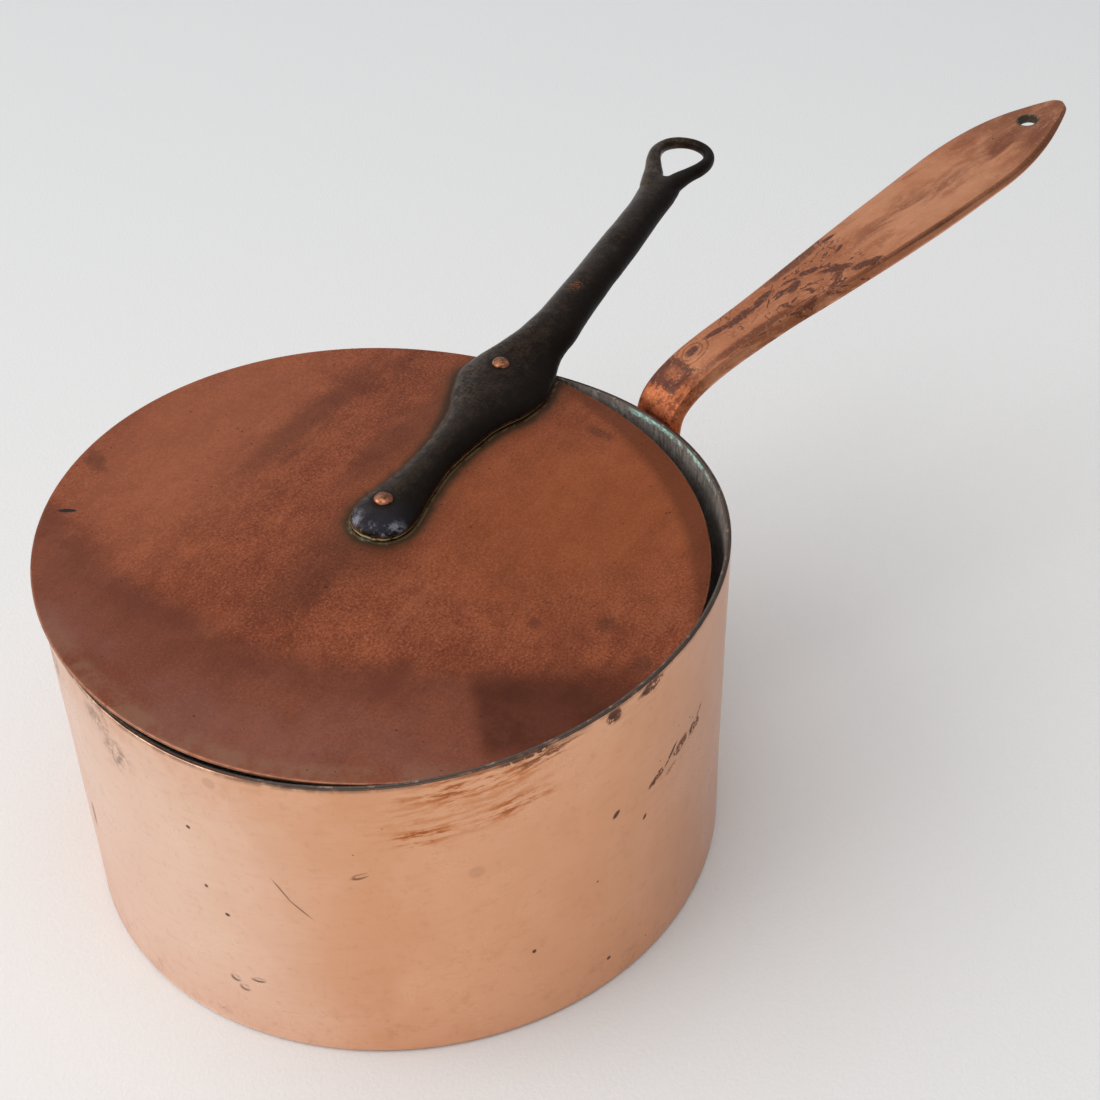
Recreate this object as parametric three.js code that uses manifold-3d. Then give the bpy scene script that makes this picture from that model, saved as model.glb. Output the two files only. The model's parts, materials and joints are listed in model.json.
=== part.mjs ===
// Old copper saucepan with a loose lid: a straight-sided body tinned inside, a flat copper bar for a
// handle, and a flat lid with a long forged-iron handle.
//
// Millimetres, +Z up. The origin is the centre of the base's underside and +X runs out along the pan
// handle. Angles are in degrees, anticlockwise from +X seen from above.
import * as THREE from 'three';
import { mergeVertices } from 'three/addons/utils/BufferGeometryUtils.js';
import Module from 'manifold-3d';

const wasm = await Module();
wasm.setup();

const GAP = 0.3;
// Long enough to pass right through anything it cuts.
const CUTTER_LENGTH = 40;
// Under a flat rivet head on the round, slightly leaning wall.
const SEAT_GAP = 0.6;
const RADIAL_STEPS = 96;
const CUTTER_SIDES = 20;

// Body: the outer radius is true at the base, and the hand-cut rim waves in and out and up and down.
const BODY_RADIUS = 125;
const BODY_HEIGHT = 135.6;
const WALL_THICKNESS = 1.4;
const BASE_THICKNESS = 2;
const TIN_THICKNESS = 0.4;
const TIN_GAP = 0.2;
const RIM_ROUNDING = 0.4;
const RIM_BULGE = [
  { lobes: 1, size: 1.8, peak: 8 },
  { lobes: 2, size: 1.3, peak: 120 },
  { lobes: 3, size: 2.4, peak: 108 },
];
const RIM_RISE = [
  { lobes: 1, size: 2.2, peak: 122 },
  { lobes: 2, size: 1.25, peak: 112 },
];

// Pan handle: a bar that leaves the wall just under the rim and bends outwards. HANDLE_RUN is the
// middle of its upper face beyond the wall, as [x, z]. HANDLE_SHAPE is [distance along the bar from
// the foot of the riveted plate, half width, thickness].
const PLATE_BOTTOM = 62;
const PLATE_TOP = 127;
const PLATE_THICKNESS = 4;
const NECK_START = 112;
const HANDLE_RUN = [
  [129.2, 133.2],
  [131.8, 138.4],
  [137.6, 143.6],
  [147, 148.6],
  [160, 153],
  [182.5, 158.6],
  [220, 167.2],
  [257.5, 175.8],
  [300, 185],
  [335, 193.2],
  [358, 197.6],
];
const HANDLE_SHAPE = [
  [0, 2.5, 3.2],
  [7, 11, 3.8],
  [20, 23, PLATE_THICKNESS],
  [34, 27, PLATE_THICKNESS],
  [47, 21, PLATE_THICKNESS],
  [59, 13.2, 4.6],
  [70, 11.9, 5.5],
  [100, 12, 5.7],
  [135, 12.8, 6],
  [165, 15.1, 6.1],
  [205, 18.2, 5.7],
  [243, 19.8, 4.9],
  [262, 19.9, 4.5],
  [277, 18.1, 4.3],
  [291, 13.8, 4],
  [303, 8.6, 3.5],
  [311, 4.5, 2.9],
  [314.5, 1.5, 2.4],
];
const HANDLE_STEPS = 64;
const HANDLE_ROW = 9;
const HANG_HOLE = { x: 338.7, y: 2.4, radius: 4.4 };

// Pan rivets: two side by side and one below, as the angle round the wall and the height.
const PAN_RIVETS = {
  pan_handle_rivet_left: { angle: 6.8, z: 103 },
  pan_handle_rivet_right: { angle: -6.8, z: 103 },
  pan_handle_rivet_lower: { angle: 0, z: 80 },
};
const PAN_RIVET = { head: 6.5, dome: 3, shank: 3.5, tail: 6, tailHeight: 1.6 };

// Lid: it has dropped into the pan on one side and rests over the rim on the other.
const LID_RADIUS = 121.8;
const LID_THICKNESS = 1.3;
const LID_TIN_THICKNESS = 0.3;
const LID_TIN_INSET = 1;
const LID_CENTRE = new THREE.Vector3(-0.8, 0.3, 137.35);
const LID_TILT = 5.1;
const LID_LOW_SIDE = -54.3;
const LID_HANDLE_ANGLE = 28.6;

// Lid handle, in the lid's own frame: x out along the handle, z up from the lid's upper face.
// IRON_SHAPE is [x, half width, sideways shift, underside height, top height].
const IRON_SHAPE = [
  [-5, 3, 1.3, 0.3, 3.2],
  [-3, 7.2, 1.3, 0.3, 5],
  [2, 10.8, 1.3, 0.3, 6.3],
  [10, 12.1, 1.3, 0.3, 7],
  [26, 9.6, 1, 0.3, 6.9],
  [44, 7.9, 0.7, 0.3, 6.6],
  [62, 9.2, 0, 0.3, 6.8],
  [76, 11.4, -0.4, 0.3, 7.2],
  [90, 16.8, -0.8, 0.3, 7.7],
  [103, 19.7, -0.2, 0.3, 8.2],
  [114, 17.8, -0.8, 1.2, 9.6],
  [126, 13.4, -2.5, 4, 12.2],
  [141, 11.2, -4.8, 6.4, 14.6],
  [168, 9.7, -5.2, 8.8, 16.8],
  [210, 9.3, -5.1, 11.5, 19.3],
  [240, 8.7, -4.9, 13.4, 21.2],
  [259, 9.4, -4.1, 14.8, 22.1],
  [266, 10.2, -3.6, 15.4, 21.9],
  [270.5, 9.4, -3.2, 16, 21.5],
];
const IRON_STEPS = 56;
const IRON_SIDES = 24;
const IRON_FLATNESS = { upper: 2.4, lower: 5, split: 0.38 };
// Teardrop hanging loop: the middle line of its bar, one side of it, as [x, distance to the side].
const LOOP_MIDDLE = [
  [259, 0],
  [268, 5],
  [277, 9.4],
  [285, 12],
  [293, 12.2],
  [299.8, 8.4],
  [302.8, 0],
];
const LOOP_BAR = { width: 6.8, height: 6.6 };
const LOOP_SIDE_SHIFT = -3;
const LOOP_BASE_HEIGHT = 18.3;
const LOOP_RISE = 0.06;
const LOOP_STEPS = 40;
const LOOP_SIDES = 12;

const LID_RIVETS = {
  lid_handle_rivet_inner: { x: 11, y: 3.2, top: 7 },
  lid_handle_rivet_outer: { x: 109, y: 3.2, top: 9.5 },
};
const LID_RIVET = { head: 3.7, dome: 1.8, shank: 2.2, tail: 3.6, tailHeight: 1.2 };
const DOME_STEPS = 5;
const RIVET_STEPS = 24;
const BASE_EDGE_STEPS = 4;

const MATERIALS = {
  copper_wall: { color: 0xd69a72, roughness: 0.28, metalness: 1 },
  copper_handle: { color: 0xb9764f, roughness: 0.4, metalness: 1 },
  copper_lid: { color: 0x96503a, roughness: 0.5, metalness: 0.9 },
  copper_rivet: { color: 0xc07a52, roughness: 0.35, metalness: 1 },
  tin: { color: 0x77736f, roughness: 0.5, metalness: 0.9 },
  iron: { color: 0x2a2523, roughness: 0.5, metalness: 0.6 },
};

const radians = THREE.MathUtils.degToRad;

// Sum of waves round the rim.
function waves(list, angle) {
  return list.reduce(
    (sum, wave) => sum + wave.size * Math.cos(wave.lobes * (angle - radians(wave.peak))),
    0,
  );
}

function wallRadius(angle, z) {
  return BODY_RADIUS + (waves(RIM_BULGE, angle) * z) / BODY_HEIGHT;
}

function rimHeight(angle) {
  return BODY_HEIGHT + waves(RIM_RISE, angle);
}

function signedVolume(positions, index) {
  const [a, b, c] = [new THREE.Vector3(), new THREE.Vector3(), new THREE.Vector3()];
  let sum = 0;
  for (let i = 0; i < index.length; i += 3) {
    a.fromBufferAttribute(positions, index[i]);
    b.fromBufferAttribute(positions, index[i + 1]);
    c.fromBufferAttribute(positions, index[i + 2]);
    sum += a.dot(b.cross(c)) / 6;
  }
  return sum;
}

// Closed body from loose faces: joins equal corners, drops faces with no area, faces outwards.
function solid(positions, index) {
  const loose = new THREE.BufferGeometry();
  loose.setAttribute('position', new THREE.Float32BufferAttribute(positions, 3));
  loose.setIndex(index);
  const geometry = mergeVertices(loose, 1e-4);
  const corners = geometry.index.array;
  const kept = [];
  for (let i = 0; i < corners.length; i += 3) {
    const [a, b, c] = [corners[i], corners[i + 1], corners[i + 2]];
    if (a !== b && b !== c && c !== a) {
      kept.push(a, b, c);
    }
  }
  if (signedVolume(geometry.attributes.position, kept) < 0) {
    kept.reverse();
  }
  geometry.setIndex(kept);
  return geometry;
}

// Skin over a row of sections, each a loop of the same number of points. A ring joins its last
// section to its first. Otherwise each end is closed by a strip between facing pairs of points.
function skin(sections, ring) {
  const count = sections[0].length;
  const positions = sections.flat().flatMap((point) => point.toArray());
  const index = [];
  const quad = (a, b, c, d) => index.push(a, b, c, a, c, d);
  const spans = ring ? sections.length : sections.length - 1;
  for (let i = 0; i < spans; i++) {
    const here = i * count;
    const next = ((i + 1) % sections.length) * count;
    for (let j = 0; j < count; j++) {
      const k = (j + 1) % count;
      quad(here + j, next + j, next + k, here + k);
    }
  }
  if (!ring) {
    const last = (sections.length - 1) * count;
    for (let j = 0; j < count / 2 - 1; j++) {
      const facing = count - 1 - j;
      quad(j, j + 1, facing - 1, facing);
      quad(last + facing, last + facing - 1, last + j + 1, last + j);
    }
  }
  return solid(positions, index);
}

// Body of revolution whose profile, a list of [radius, z], may change with the angle.
function revolve(profileAt, steps = RADIAL_STEPS) {
  const sections = Array.from({ length: steps }, (_, i) => {
    const angle = (i / steps) * 2 * Math.PI;
    return profileAt(angle).map(
      ([r, z]) => new THREE.Vector3(r * Math.cos(angle), r * Math.sin(angle), z),
    );
  });
  return skin(sections, true);
}

function toManifold(geometry) {
  const mesh = new wasm.Mesh({
    numProp: 3,
    vertProperties: new Float32Array(geometry.attributes.position.array),
    triVerts: new Uint32Array(geometry.index.array),
  });
  return new wasm.Manifold(mesh);
}

function fromManifold(body) {
  const mesh = body.getMesh();
  return solid(Array.from(mesh.vertProperties), Array.from(mesh.triVerts));
}

function drill(geometry, cutters) {
  let body = toManifold(geometry);
  for (const cutter of cutters) {
    body = body.subtract(toManifold(cutter));
  }
  return fromManifold(body);
}

// Round cutter along the local Z of the given matrix.
function roundCutter(radius, length, matrix) {
  const bar = new THREE.CylinderGeometry(radius, radius, length, CUTTER_SIDES);
  bar.deleteAttribute('normal');
  bar.deleteAttribute('uv');
  bar.rotateX(Math.PI / 2);
  return mergeVertices(bar).applyMatrix4(matrix);
}

function panWall(cutters) {
  const wall = revolve((angle) => {
    const foot = BASE_THICKNESS + GAP;
    const top = rimHeight(angle);
    const middle = (foot + top) / 2;
    const outer = (z) => wallRadius(angle, z);
    const inner = (z) => wallRadius(angle, z) - WALL_THICKNESS;
    return [
      [outer(foot), foot],
      [outer(middle), middle],
      [outer(top), top - RIM_ROUNDING],
      [outer(top) - RIM_ROUNDING, top],
      [inner(top) + RIM_ROUNDING, top],
      [inner(top), top - RIM_ROUNDING],
      [inner(middle), middle],
      [inner(foot), foot],
    ];
  });
  return drill(wall, cutters);
}

function panBase() {
  const edge = BASE_THICKNESS;
  const rounding = Array.from({ length: BASE_EDGE_STEPS + 1 }, (_, i) => {
    const turn = (i / BASE_EDGE_STEPS) * (Math.PI / 2);
    return [BODY_RADIUS - edge + edge * Math.sin(turn), edge - edge * Math.cos(turn)];
  });
  return revolve(() => [[0, 0], ...rounding, [0, BASE_THICKNESS]]);
}

function panTinning(cutters) {
  const floor = BASE_THICKNESS + TIN_GAP;
  const lining = revolve((angle) => {
    const top = rimHeight(angle) - RIM_ROUNDING;
    const outer = (z) => wallRadius(angle, z) - WALL_THICKNESS - TIN_GAP;
    const inner = (z) => outer(z) - TIN_THICKNESS;
    const corner = floor + TIN_THICKNESS;
    return [
      [0, floor],
      [outer(floor), floor],
      [outer(top), top],
      [inner(top), top],
      [inner(corner + 3), corner + 3],
      [inner(corner) - 1, corner + 1],
      [inner(corner) - 3, corner],
      [0, corner],
    ];
  });
  return drill(lining, cutters);
}

// Matrix whose local Z is the outward normal of the wall, at the wall's outer face.
function wallMatrix({ angle, z }) {
  const turn = radians(angle);
  const outward = new THREE.Vector3(Math.cos(turn), Math.sin(turn), 0);
  const place = outward.clone().multiplyScalar(wallRadius(turn, z)).setZ(z);
  const up = new THREE.Vector3(0, 0, 1);
  const matrix = new THREE.Matrix4().makeBasis(up, outward.clone().cross(up), outward);
  return matrix.setPosition(place);
}

function rivet(size, upper, lower) {
  const dome = Array.from({ length: DOME_STEPS + 1 }, (_, i) => {
    const turn = (i / DOME_STEPS) * (Math.PI / 2);
    return [size.head * Math.sin(turn), upper + size.dome * Math.cos(turn)];
  });
  return revolve(
    () => [
      ...dome,
      [size.shank, upper],
      [size.shank, lower],
      [size.tail, lower],
      [size.tail * 0.85, lower - size.tailHeight],
      [0, lower - size.tailHeight],
    ],
    RIVET_STEPS,
  );
}

// Middle line of the upper face of the pan handle, from the foot of its plate to its tip.
function handlePath() {
  const onWall = (z) => new THREE.Vector3(wallRadius(0, z) + GAP, 0, z);
  const plate = [PLATE_BOTTOM, (PLATE_BOTTOM + PLATE_TOP) / 2, PLATE_TOP].map(onWall);
  const run = HANDLE_RUN.map(([x, z]) => new THREE.Vector3(x, 0, z));
  return new THREE.CatmullRomCurve3([...plate, ...run], false, 'centripetal');
}

// How far the face at sideways distance y lies behind the middle of the plate, on the round wall.
function wallSetback(y, z) {
  const angle = Math.asin(y / BODY_RADIUS);
  return wallRadius(0, z) - Math.sqrt(wallRadius(angle, z) ** 2 - y * y);
}

function panHandle(cutters) {
  const path = handlePath();
  const rows = HANDLE_SHAPE.map((row) => new THREE.Vector3(...row));
  const shape = new THREE.CatmullRomCurve3(rows, false, 'catmullrom');
  const length = path.getLength();
  const scale = length / HANDLE_SHAPE.at(-1)[0];
  const sections = shape.getPoints(HANDLE_STEPS).map(({ x: distance, y: halfWidth, z: thickness }) => {
    const at = Math.min(Math.max((distance * scale) / length, 0), 1);
    const middle = path.getPointAt(at);
    const along = path.getTangentAt(at);
    const under = new THREE.Vector3(along.z, 0, -along.x);
    const wrap = 1 - THREE.MathUtils.smoothstep(middle.z, NECK_START, PLATE_TOP + 4);
    const row = Array.from({ length: HANDLE_ROW }, (_, i) => {
      const y = halfWidth * (1 - (2 * i) / (HANDLE_ROW - 1));
      return middle.clone().add(new THREE.Vector3(-wrap * wallSetback(y, middle.z), y, 0));
    });
    const back = row.map((point) => point.clone().addScaledVector(under, thickness)).reverse();
    return [...row, ...back];
  });
  return drill(skin(sections, false), cutters);
}

function hangHoleCutter() {
  const path = handlePath();
  const points = path.getPoints(HANDLE_STEPS * 6);
  const nearest = points.findIndex((point) => point.x > HANG_HOLE.x);
  const along = points[nearest + 1].clone().sub(points[nearest]).normalize();
  const up = new THREE.Vector3(-along.z, 0, along.x);
  const matrix = new THREE.Matrix4().makeBasis(along, new THREE.Vector3(0, 1, 0), up);
  matrix.setPosition(points[nearest].clone().setY(HANG_HOLE.y));
  return roundCutter(HANG_HOLE.radius, CUTTER_LENGTH, matrix);
}

// From the lid's own frame, with its x along the lid handle, to the resting, tilted lid.
function lidMatrix() {
  const lowSide = radians(LID_LOW_SIDE);
  const tiltAxis = new THREE.Vector3(-Math.sin(lowSide), Math.cos(lowSide), 0);
  return new THREE.Matrix4()
    .makeTranslation(LID_CENTRE)
    .multiply(new THREE.Matrix4().makeRotationAxis(tiltAxis, radians(LID_TILT)))
    .multiply(new THREE.Matrix4().makeRotationZ(radians(LID_HANDLE_ANGLE)));
}

function lidDisc(cutters) {
  const edge = RIM_ROUNDING;
  const disc = revolve(() => [
    [0, 0],
    [LID_RADIUS - edge, 0],
    [LID_RADIUS, -edge],
    [LID_RADIUS, edge - LID_THICKNESS],
    [LID_RADIUS - edge, -LID_THICKNESS],
    [0, -LID_THICKNESS],
  ]);
  return drill(disc, cutters);
}

function lidTinning(cutters) {
  const top = -LID_THICKNESS - TIN_GAP;
  const radius = LID_RADIUS - LID_TIN_INSET;
  const sheet = revolve(() => [
    [0, top],
    [radius, top],
    [radius, top - LID_TIN_THICKNESS],
    [0, top - LID_TIN_THICKNESS],
  ]);
  return drill(sheet, cutters);
}

// Forged section: domed above, flat below, widest at the split height.
function ironSection(x, halfWidth, shift, bottom, top) {
  const middle = bottom + IRON_FLATNESS.split * (top - bottom);
  return Array.from({ length: IRON_SIDES }, (_, i) => {
    const turn = ((i + 0.5) / IRON_SIDES) * 2 * Math.PI;
    const [c, s] = [Math.cos(turn), Math.sin(turn)];
    const power = 2 / (s > 0 ? IRON_FLATNESS.upper : IRON_FLATNESS.lower);
    const reach = s > 0 ? top - middle : bottom - middle;
    const y = shift + halfWidth * Math.sign(c) * Math.abs(c) ** power;
    return new THREE.Vector3(x, y, middle + reach * Math.abs(s) ** power);
  });
}

function ironStem() {
  const outline = new THREE.CatmullRomCurve3(
    IRON_SHAPE.map(([x, halfWidth, shift]) => new THREE.Vector3(x, halfWidth, shift)),
    false,
    'catmullrom',
  );
  const heights = new THREE.CatmullRomCurve3(
    IRON_SHAPE.map(([x, , , bottom, top]) => new THREE.Vector3(x, bottom, top)),
    false,
    'catmullrom',
  );
  const sections = Array.from({ length: IRON_STEPS + 1 }, (_, i) => {
    const plan = outline.getPoint(i / IRON_STEPS);
    const side = heights.getPoint(i / IRON_STEPS);
    return ironSection(plan.x, plan.y, plan.z, Math.max(side.y, GAP), side.z);
  });
  return skin(sections, false);
}

function ironLoop() {
  const height = (x) => LOOP_BASE_HEIGHT + LOOP_RISE * (x - LOOP_MIDDLE[0][0]);
  const place = ([x, y]) => new THREE.Vector3(x, LOOP_SIDE_SHIFT + y, height(x));
  const farSide = LOOP_MIDDLE.slice(1, -1).reverse().map(([x, y]) => [x, -y]);
  const middle = new THREE.CatmullRomCurve3([...LOOP_MIDDLE, ...farSide].map(place), true, 'centripetal');
  const sections = Array.from({ length: LOOP_STEPS }, (_, i) => {
    const centre = middle.getPointAt(i / LOOP_STEPS);
    const along = middle.getTangentAt(i / LOOP_STEPS);
    const outwards = new THREE.Vector3(along.y, -along.x, 0).normalize();
    return Array.from({ length: LOOP_SIDES }, (_, j) => {
      const turn = (j / LOOP_SIDES) * 2 * Math.PI;
      return centre
        .clone()
        .addScaledVector(outwards, (LOOP_BAR.width / 2) * Math.cos(turn))
        .add(new THREE.Vector3(0, 0, (LOOP_BAR.height / 2) * Math.sin(turn)));
    });
  });
  return skin(sections, true);
}

function lidHandle(cutters) {
  const forged = toManifold(ironStem()).add(toManifold(ironLoop()));
  return drill(fromManifold(forged), cutters);
}

function rivetHoles(places, radius, matrixOf) {
  return Object.values(places).map((place) => roundCutter(radius + GAP, CUTTER_LENGTH, matrixOf(place)));
}

const object = new THREE.Group();
object.name = 'copper_saucepan';

function addNode(name, geometry, material, matrix) {
  if (matrix) {
    geometry.applyMatrix4(matrix);
  }
  geometry.computeVertexNormals();
  const mesh = new THREE.Mesh(geometry, new THREE.MeshStandardMaterial(MATERIALS[material]));
  mesh.name = name;
  object.add(mesh);
}

function addPan() {
  const holes = rivetHoles(PAN_RIVETS, PAN_RIVET.shank, wallMatrix);
  addNode('pan_wall', panWall(holes), 'copper_wall');
  addNode('pan_base', panBase(), 'copper_wall');
  addNode('pan_tinning', panTinning(holes), 'tin');
  addNode('pan_handle', panHandle([...holes, hangHoleCutter()]), 'copper_handle');
  const upper = GAP + PLATE_THICKNESS + SEAT_GAP;
  const lower = -WALL_THICKNESS - TIN_GAP - TIN_THICKNESS - SEAT_GAP;
  for (const [name, place] of Object.entries(PAN_RIVETS)) {
    addNode(name, rivet(PAN_RIVET, upper, lower), 'copper_rivet', wallMatrix(place));
  }
}

function addLid() {
  const toRest = lidMatrix();
  const place = ({ x, y }) => new THREE.Matrix4().makeTranslation(x, y, 0);
  const holes = rivetHoles(LID_RIVETS, LID_RIVET.shank, place);
  addNode('lid_disc', lidDisc(holes), 'copper_lid', toRest);
  addNode('lid_tinning', lidTinning(holes), 'tin', toRest);
  addNode('lid_handle', lidHandle(holes), 'iron', toRest);
  const lower = -LID_THICKNESS - TIN_GAP - LID_TIN_THICKNESS - GAP;
  for (const [name, spot] of Object.entries(LID_RIVETS)) {
    const geometry = rivet(LID_RIVET, spot.top + GAP, lower);
    addNode(name, geometry, 'copper_rivet', toRest.clone().multiply(place(spot)));
  }
}

addPan();
addLid();

export default object;
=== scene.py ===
"""Old copper saucepan with a loose lid: the looks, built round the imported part.

Shapes are worked out in millimetres in the part's own frame: +Z up from the underside of the base and
+X out along the pan handle. Angles are in degrees, anticlockwise from +X seen from above.
"""

import functools
import json
import math

import bmesh
import bpy
import numpy as np
from mathutils import Matrix, Vector

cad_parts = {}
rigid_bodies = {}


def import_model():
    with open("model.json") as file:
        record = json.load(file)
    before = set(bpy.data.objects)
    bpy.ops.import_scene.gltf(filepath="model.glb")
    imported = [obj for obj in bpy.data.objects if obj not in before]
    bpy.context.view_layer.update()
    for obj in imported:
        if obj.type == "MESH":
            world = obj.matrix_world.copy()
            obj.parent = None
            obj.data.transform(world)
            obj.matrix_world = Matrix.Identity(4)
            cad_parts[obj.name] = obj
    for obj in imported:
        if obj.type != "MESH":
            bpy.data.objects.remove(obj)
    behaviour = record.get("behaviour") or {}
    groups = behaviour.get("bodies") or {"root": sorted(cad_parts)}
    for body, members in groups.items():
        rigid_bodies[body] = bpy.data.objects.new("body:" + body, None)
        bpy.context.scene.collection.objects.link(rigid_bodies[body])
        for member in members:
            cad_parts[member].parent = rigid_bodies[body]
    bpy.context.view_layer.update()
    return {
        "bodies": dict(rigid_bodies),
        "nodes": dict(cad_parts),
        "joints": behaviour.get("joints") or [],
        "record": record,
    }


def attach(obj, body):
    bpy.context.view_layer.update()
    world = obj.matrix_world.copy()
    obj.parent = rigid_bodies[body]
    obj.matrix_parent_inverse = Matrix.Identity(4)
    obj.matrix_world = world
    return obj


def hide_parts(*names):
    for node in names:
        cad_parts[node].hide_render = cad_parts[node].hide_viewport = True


MM = 0.001

# Body of the pan: the rim waves in and out (BULGE) and up and down (RISE) as lobes, size, peak.
BODY_RADIUS = 125.0
BODY_HEIGHT = 135.6
BASE_THICKNESS = 2.0
WALL_DEPTH = 2.0
TIN_DEPTH = 0.5
RIM_ROUNDING = 0.4
LIP_START = 1.0
RIM_BULGE = ((1, 1.8, 8), (2, 1.3, 120), (3, 2.4, 108))
RIM_RISE = ((1, 2.2, 122), (2, 1.25, 112))
WALL_UNEVEN = 0.16
WALL_STEPS = 480

# Pan handle: middle of its upper face, and [distance along it, half width, thickness].
PLATE_HEIGHTS = (62.0, 94.5, 127.0)
PLATE_GAP = 0.3
NECK_START = 112.0
HANDLE_RUN = (
    (129.2, 133.2),
    (131.8, 138.4),
    (137.6, 143.6),
    (147, 148.6),
    (160, 153),
    (182.5, 158.6),
    (220, 167.2),
    (257.5, 175.8),
    (300, 185),
    (335, 193.2),
    (358, 197.6),
)
HANDLE_SHAPE = (
    (0, 2.5, 3.2),
    (7, 11, 3.8),
    (20, 23, 4),
    (34, 27, 4),
    (47, 21, 4),
    (59, 13.2, 4.6),
    (70, 11.9, 5.5),
    (100, 12.0, 5.7),
    (135, 12.8, 6.0),
    (165, 15.1, 6.1),
    (205, 18.2, 5.7),
    (243, 19.8, 4.9),
    (262, 19.9, 4.5),
    (277, 18.1, 4.3),
    (291, 14.3, 4.0),
    (303, 9.4, 3.5),
    (311, 5.5, 2.9),
    (313.7, 3.5, 2.4),
    (314.5, 1.7, 2.3),
)
HANDLE_STEPS = 300
HANG_HOLE = (338.7, 2.4)
HANG_HOLE_RADIUS = 3.95
HOLE_WEAR = 0.25
HOLE_STEPS = 64
TIP_SHIFT = 1.1
TIP_SHIFT_FROM = (262, 302)
PLATE_THICKNESS = 4.0
PAN_RIVETS = {"left": (6.8, 103.0), "right": (-6.8, 103.0), "lower": (0.0, 80.0)}

# Lid, in its own frame: x out along the iron handle, z up from its upper face.
LID_RADIUS = 121.8
LID_THICKNESS = 1.3
LID_TIN_THICKNESS = 0.3
LID_CENTRE = (-0.8, 0.3, 137.35)
LID_TILT = 5.1
LID_LOW_SIDE = -54.3
LID_HANDLE_ANGLE = 28.6
LID_STEPS = 384

# Iron handle: [x, half width, sideways shift, underside, top], then its loop.
IRON_SHAPE = (
    (-5, 3, 1.3, 0.3, 3.2),
    (-3, 7.2, 1.3, 0.3, 5),
    (2, 10.8, 1.3, 0.3, 6.3),
    (10, 12.1, 1.3, 0.3, 7),
    (26, 9.6, 1, 0.3, 6.9),
    (44, 7.9, 0.7, 0.3, 6.6),
    (62, 9.2, 0, 0.3, 6.8),
    (76, 11.4, -0.4, 0.3, 7.2),
    (90, 16.8, -0.8, 0.3, 7.7),
    (103, 19.7, -0.2, 0.3, 8.2),
    (114, 17.8, -0.8, 1.2, 9.6),
    (126, 13.4, -2.5, 4, 12.2),
    (141, 11.2, -4.8, 6.4, 14.6),
    (168, 9.7, -5.2, 8.8, 16.8),
    (210, 9.3, -5.1, 11.5, 19.3),
    (240, 8.7, -4.9, 13.4, 21.2),
    (257, 9.3, -4.2, 14.8, 22.0),
    (262, 9.7, -3.7, 15.2, 21.9),
    (266, 9.0, -3.3, 15.7, 21.6),
    (269, 5.4, -3.1, 16.9, 20.6),
)
IRON_STEPS = 260
IRON_SIDES = 56
IRON_FLATNESS = (1.95, 4.0)
IRON_SPLIT = 0.24
LOOP_MIDDLE = (
    (256, 0, 8.0),
    (260.5, 3.9, 9.6),
    (266, 5.1, 10.6),
    (271, 6.4, 10.3),
    (277, 8.9, 8.4),
    (284, 11.6, 6.7),
    (291, 12.7, 5.9),
    (297.3, 11.0, 5.4),
    (301.8, 6.6, 5.1),
    (303.6, 0, 5.0),
)
LOOP_THICKNESS = (6.6, 5.4)
LOOP_SQUARENESS = 0.88
LOOP_SPLIT = (0.27, 0.5)
LOOP_STEPS = 160
LOOP_SIDES = 32
JOIN_AT = 268.0
JOIN_REACH = 13.0
LOOP_SIDE_SHIFT = -3.0
LOOP_BASE_HEIGHT = 18.3
LOOP_RISE = 0.06
VOXEL_SIZE = 0.55
LID_RIVETS = {"inner": (11.0, 3.2, 7.0), "outer": (109.0, 3.2, 8.7)}

# Rivets: head radius, dome height, shank radius, tail radius.
PAN_RIVET = (6.5, 3.4, 3.4, 6.0)
LID_RIVET = (3.7, 1.9, 2.1, 3.6)
RIVET_STEPS = 56

# Ovals that the materials paint: place, two radii, turn, raggedness, softness, strength. These lie on
# the wall, and their place is the angle round the pan and the height.
# Painted reflection: ovals of paler copper on the wall's left side (-168 and 192 are the same place) and on
# its far side.
PAINTED_REFLECTION_ZONES = (
    (-168, 60, 62, 110, 0, 0.8, 0.75, 1),
    (192, 60, 62, 110, 0, 0.8, 0.75, 1),
    (60, 70, 70, 100, 0, 0.8, 0.75, 1),
)
STREAKS = (
    (-108, 128, 24, 6.5, 2, 0.9, 0.5, 1),
    (-117, 110.5, 11, 4.5, 6, 1.2, 0.5, 1),
    (-103.5, 114, 15, 4.5, 6, 1.2, 0.5, 1),
    (-110, 119, 27, 12, 6, 1.2, 0.6, 0.55),
)
STREAK_CORES = (
    (-110.5, 129.7, 14, 3.6, 3, 1.0, 0.6, 1),
    (-117.5, 110.5, 7, 3.0, 6, 1.0, 0.6, 1),
    (-102, 114.3, 9, 3.0, 6, 1.0, 0.6, 1),
)
TARNISH_BY_RIM = (
    (-84.7, 131.5, 3.4, 3.2, 20, 1.8, 0.25, 1),
    (-76.5, 132, 6.5, 2.2, 10, 1.8, 0.25, 1),
    (-101, 133.6, 9, 1.2, 2, 1.0, 0.3, 1),
)
TARNISH = (
    (-75, 87, 5.0, 1.5, 20, 1.4, 0.2, 1),
    (-71.2, 91, 4.6, 0.8, 38, 1.6, 0.2, 1),
    (-68.3, 90.2, 4.6, 2.0, 14, 2.2, 0.25, 1),
    (-63.4, 90.6, 4.4, 2.3, 8, 2.2, 0.25, 1),
    (-61.4, 95, 2.6, 0.7, 40, 1.6, 0.25, 0.7),
    (-71, 84.6, 3.6, 1.0, 20, 2.4, 0.25, 0.5),
)
TARNISH_HALOS = (
    (-70, 88, 19, 8, 12, 1.2, 0.6, 1),
    (-80, 130, 15, 5, 5, 1.0, 0.6, 1),
)
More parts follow.
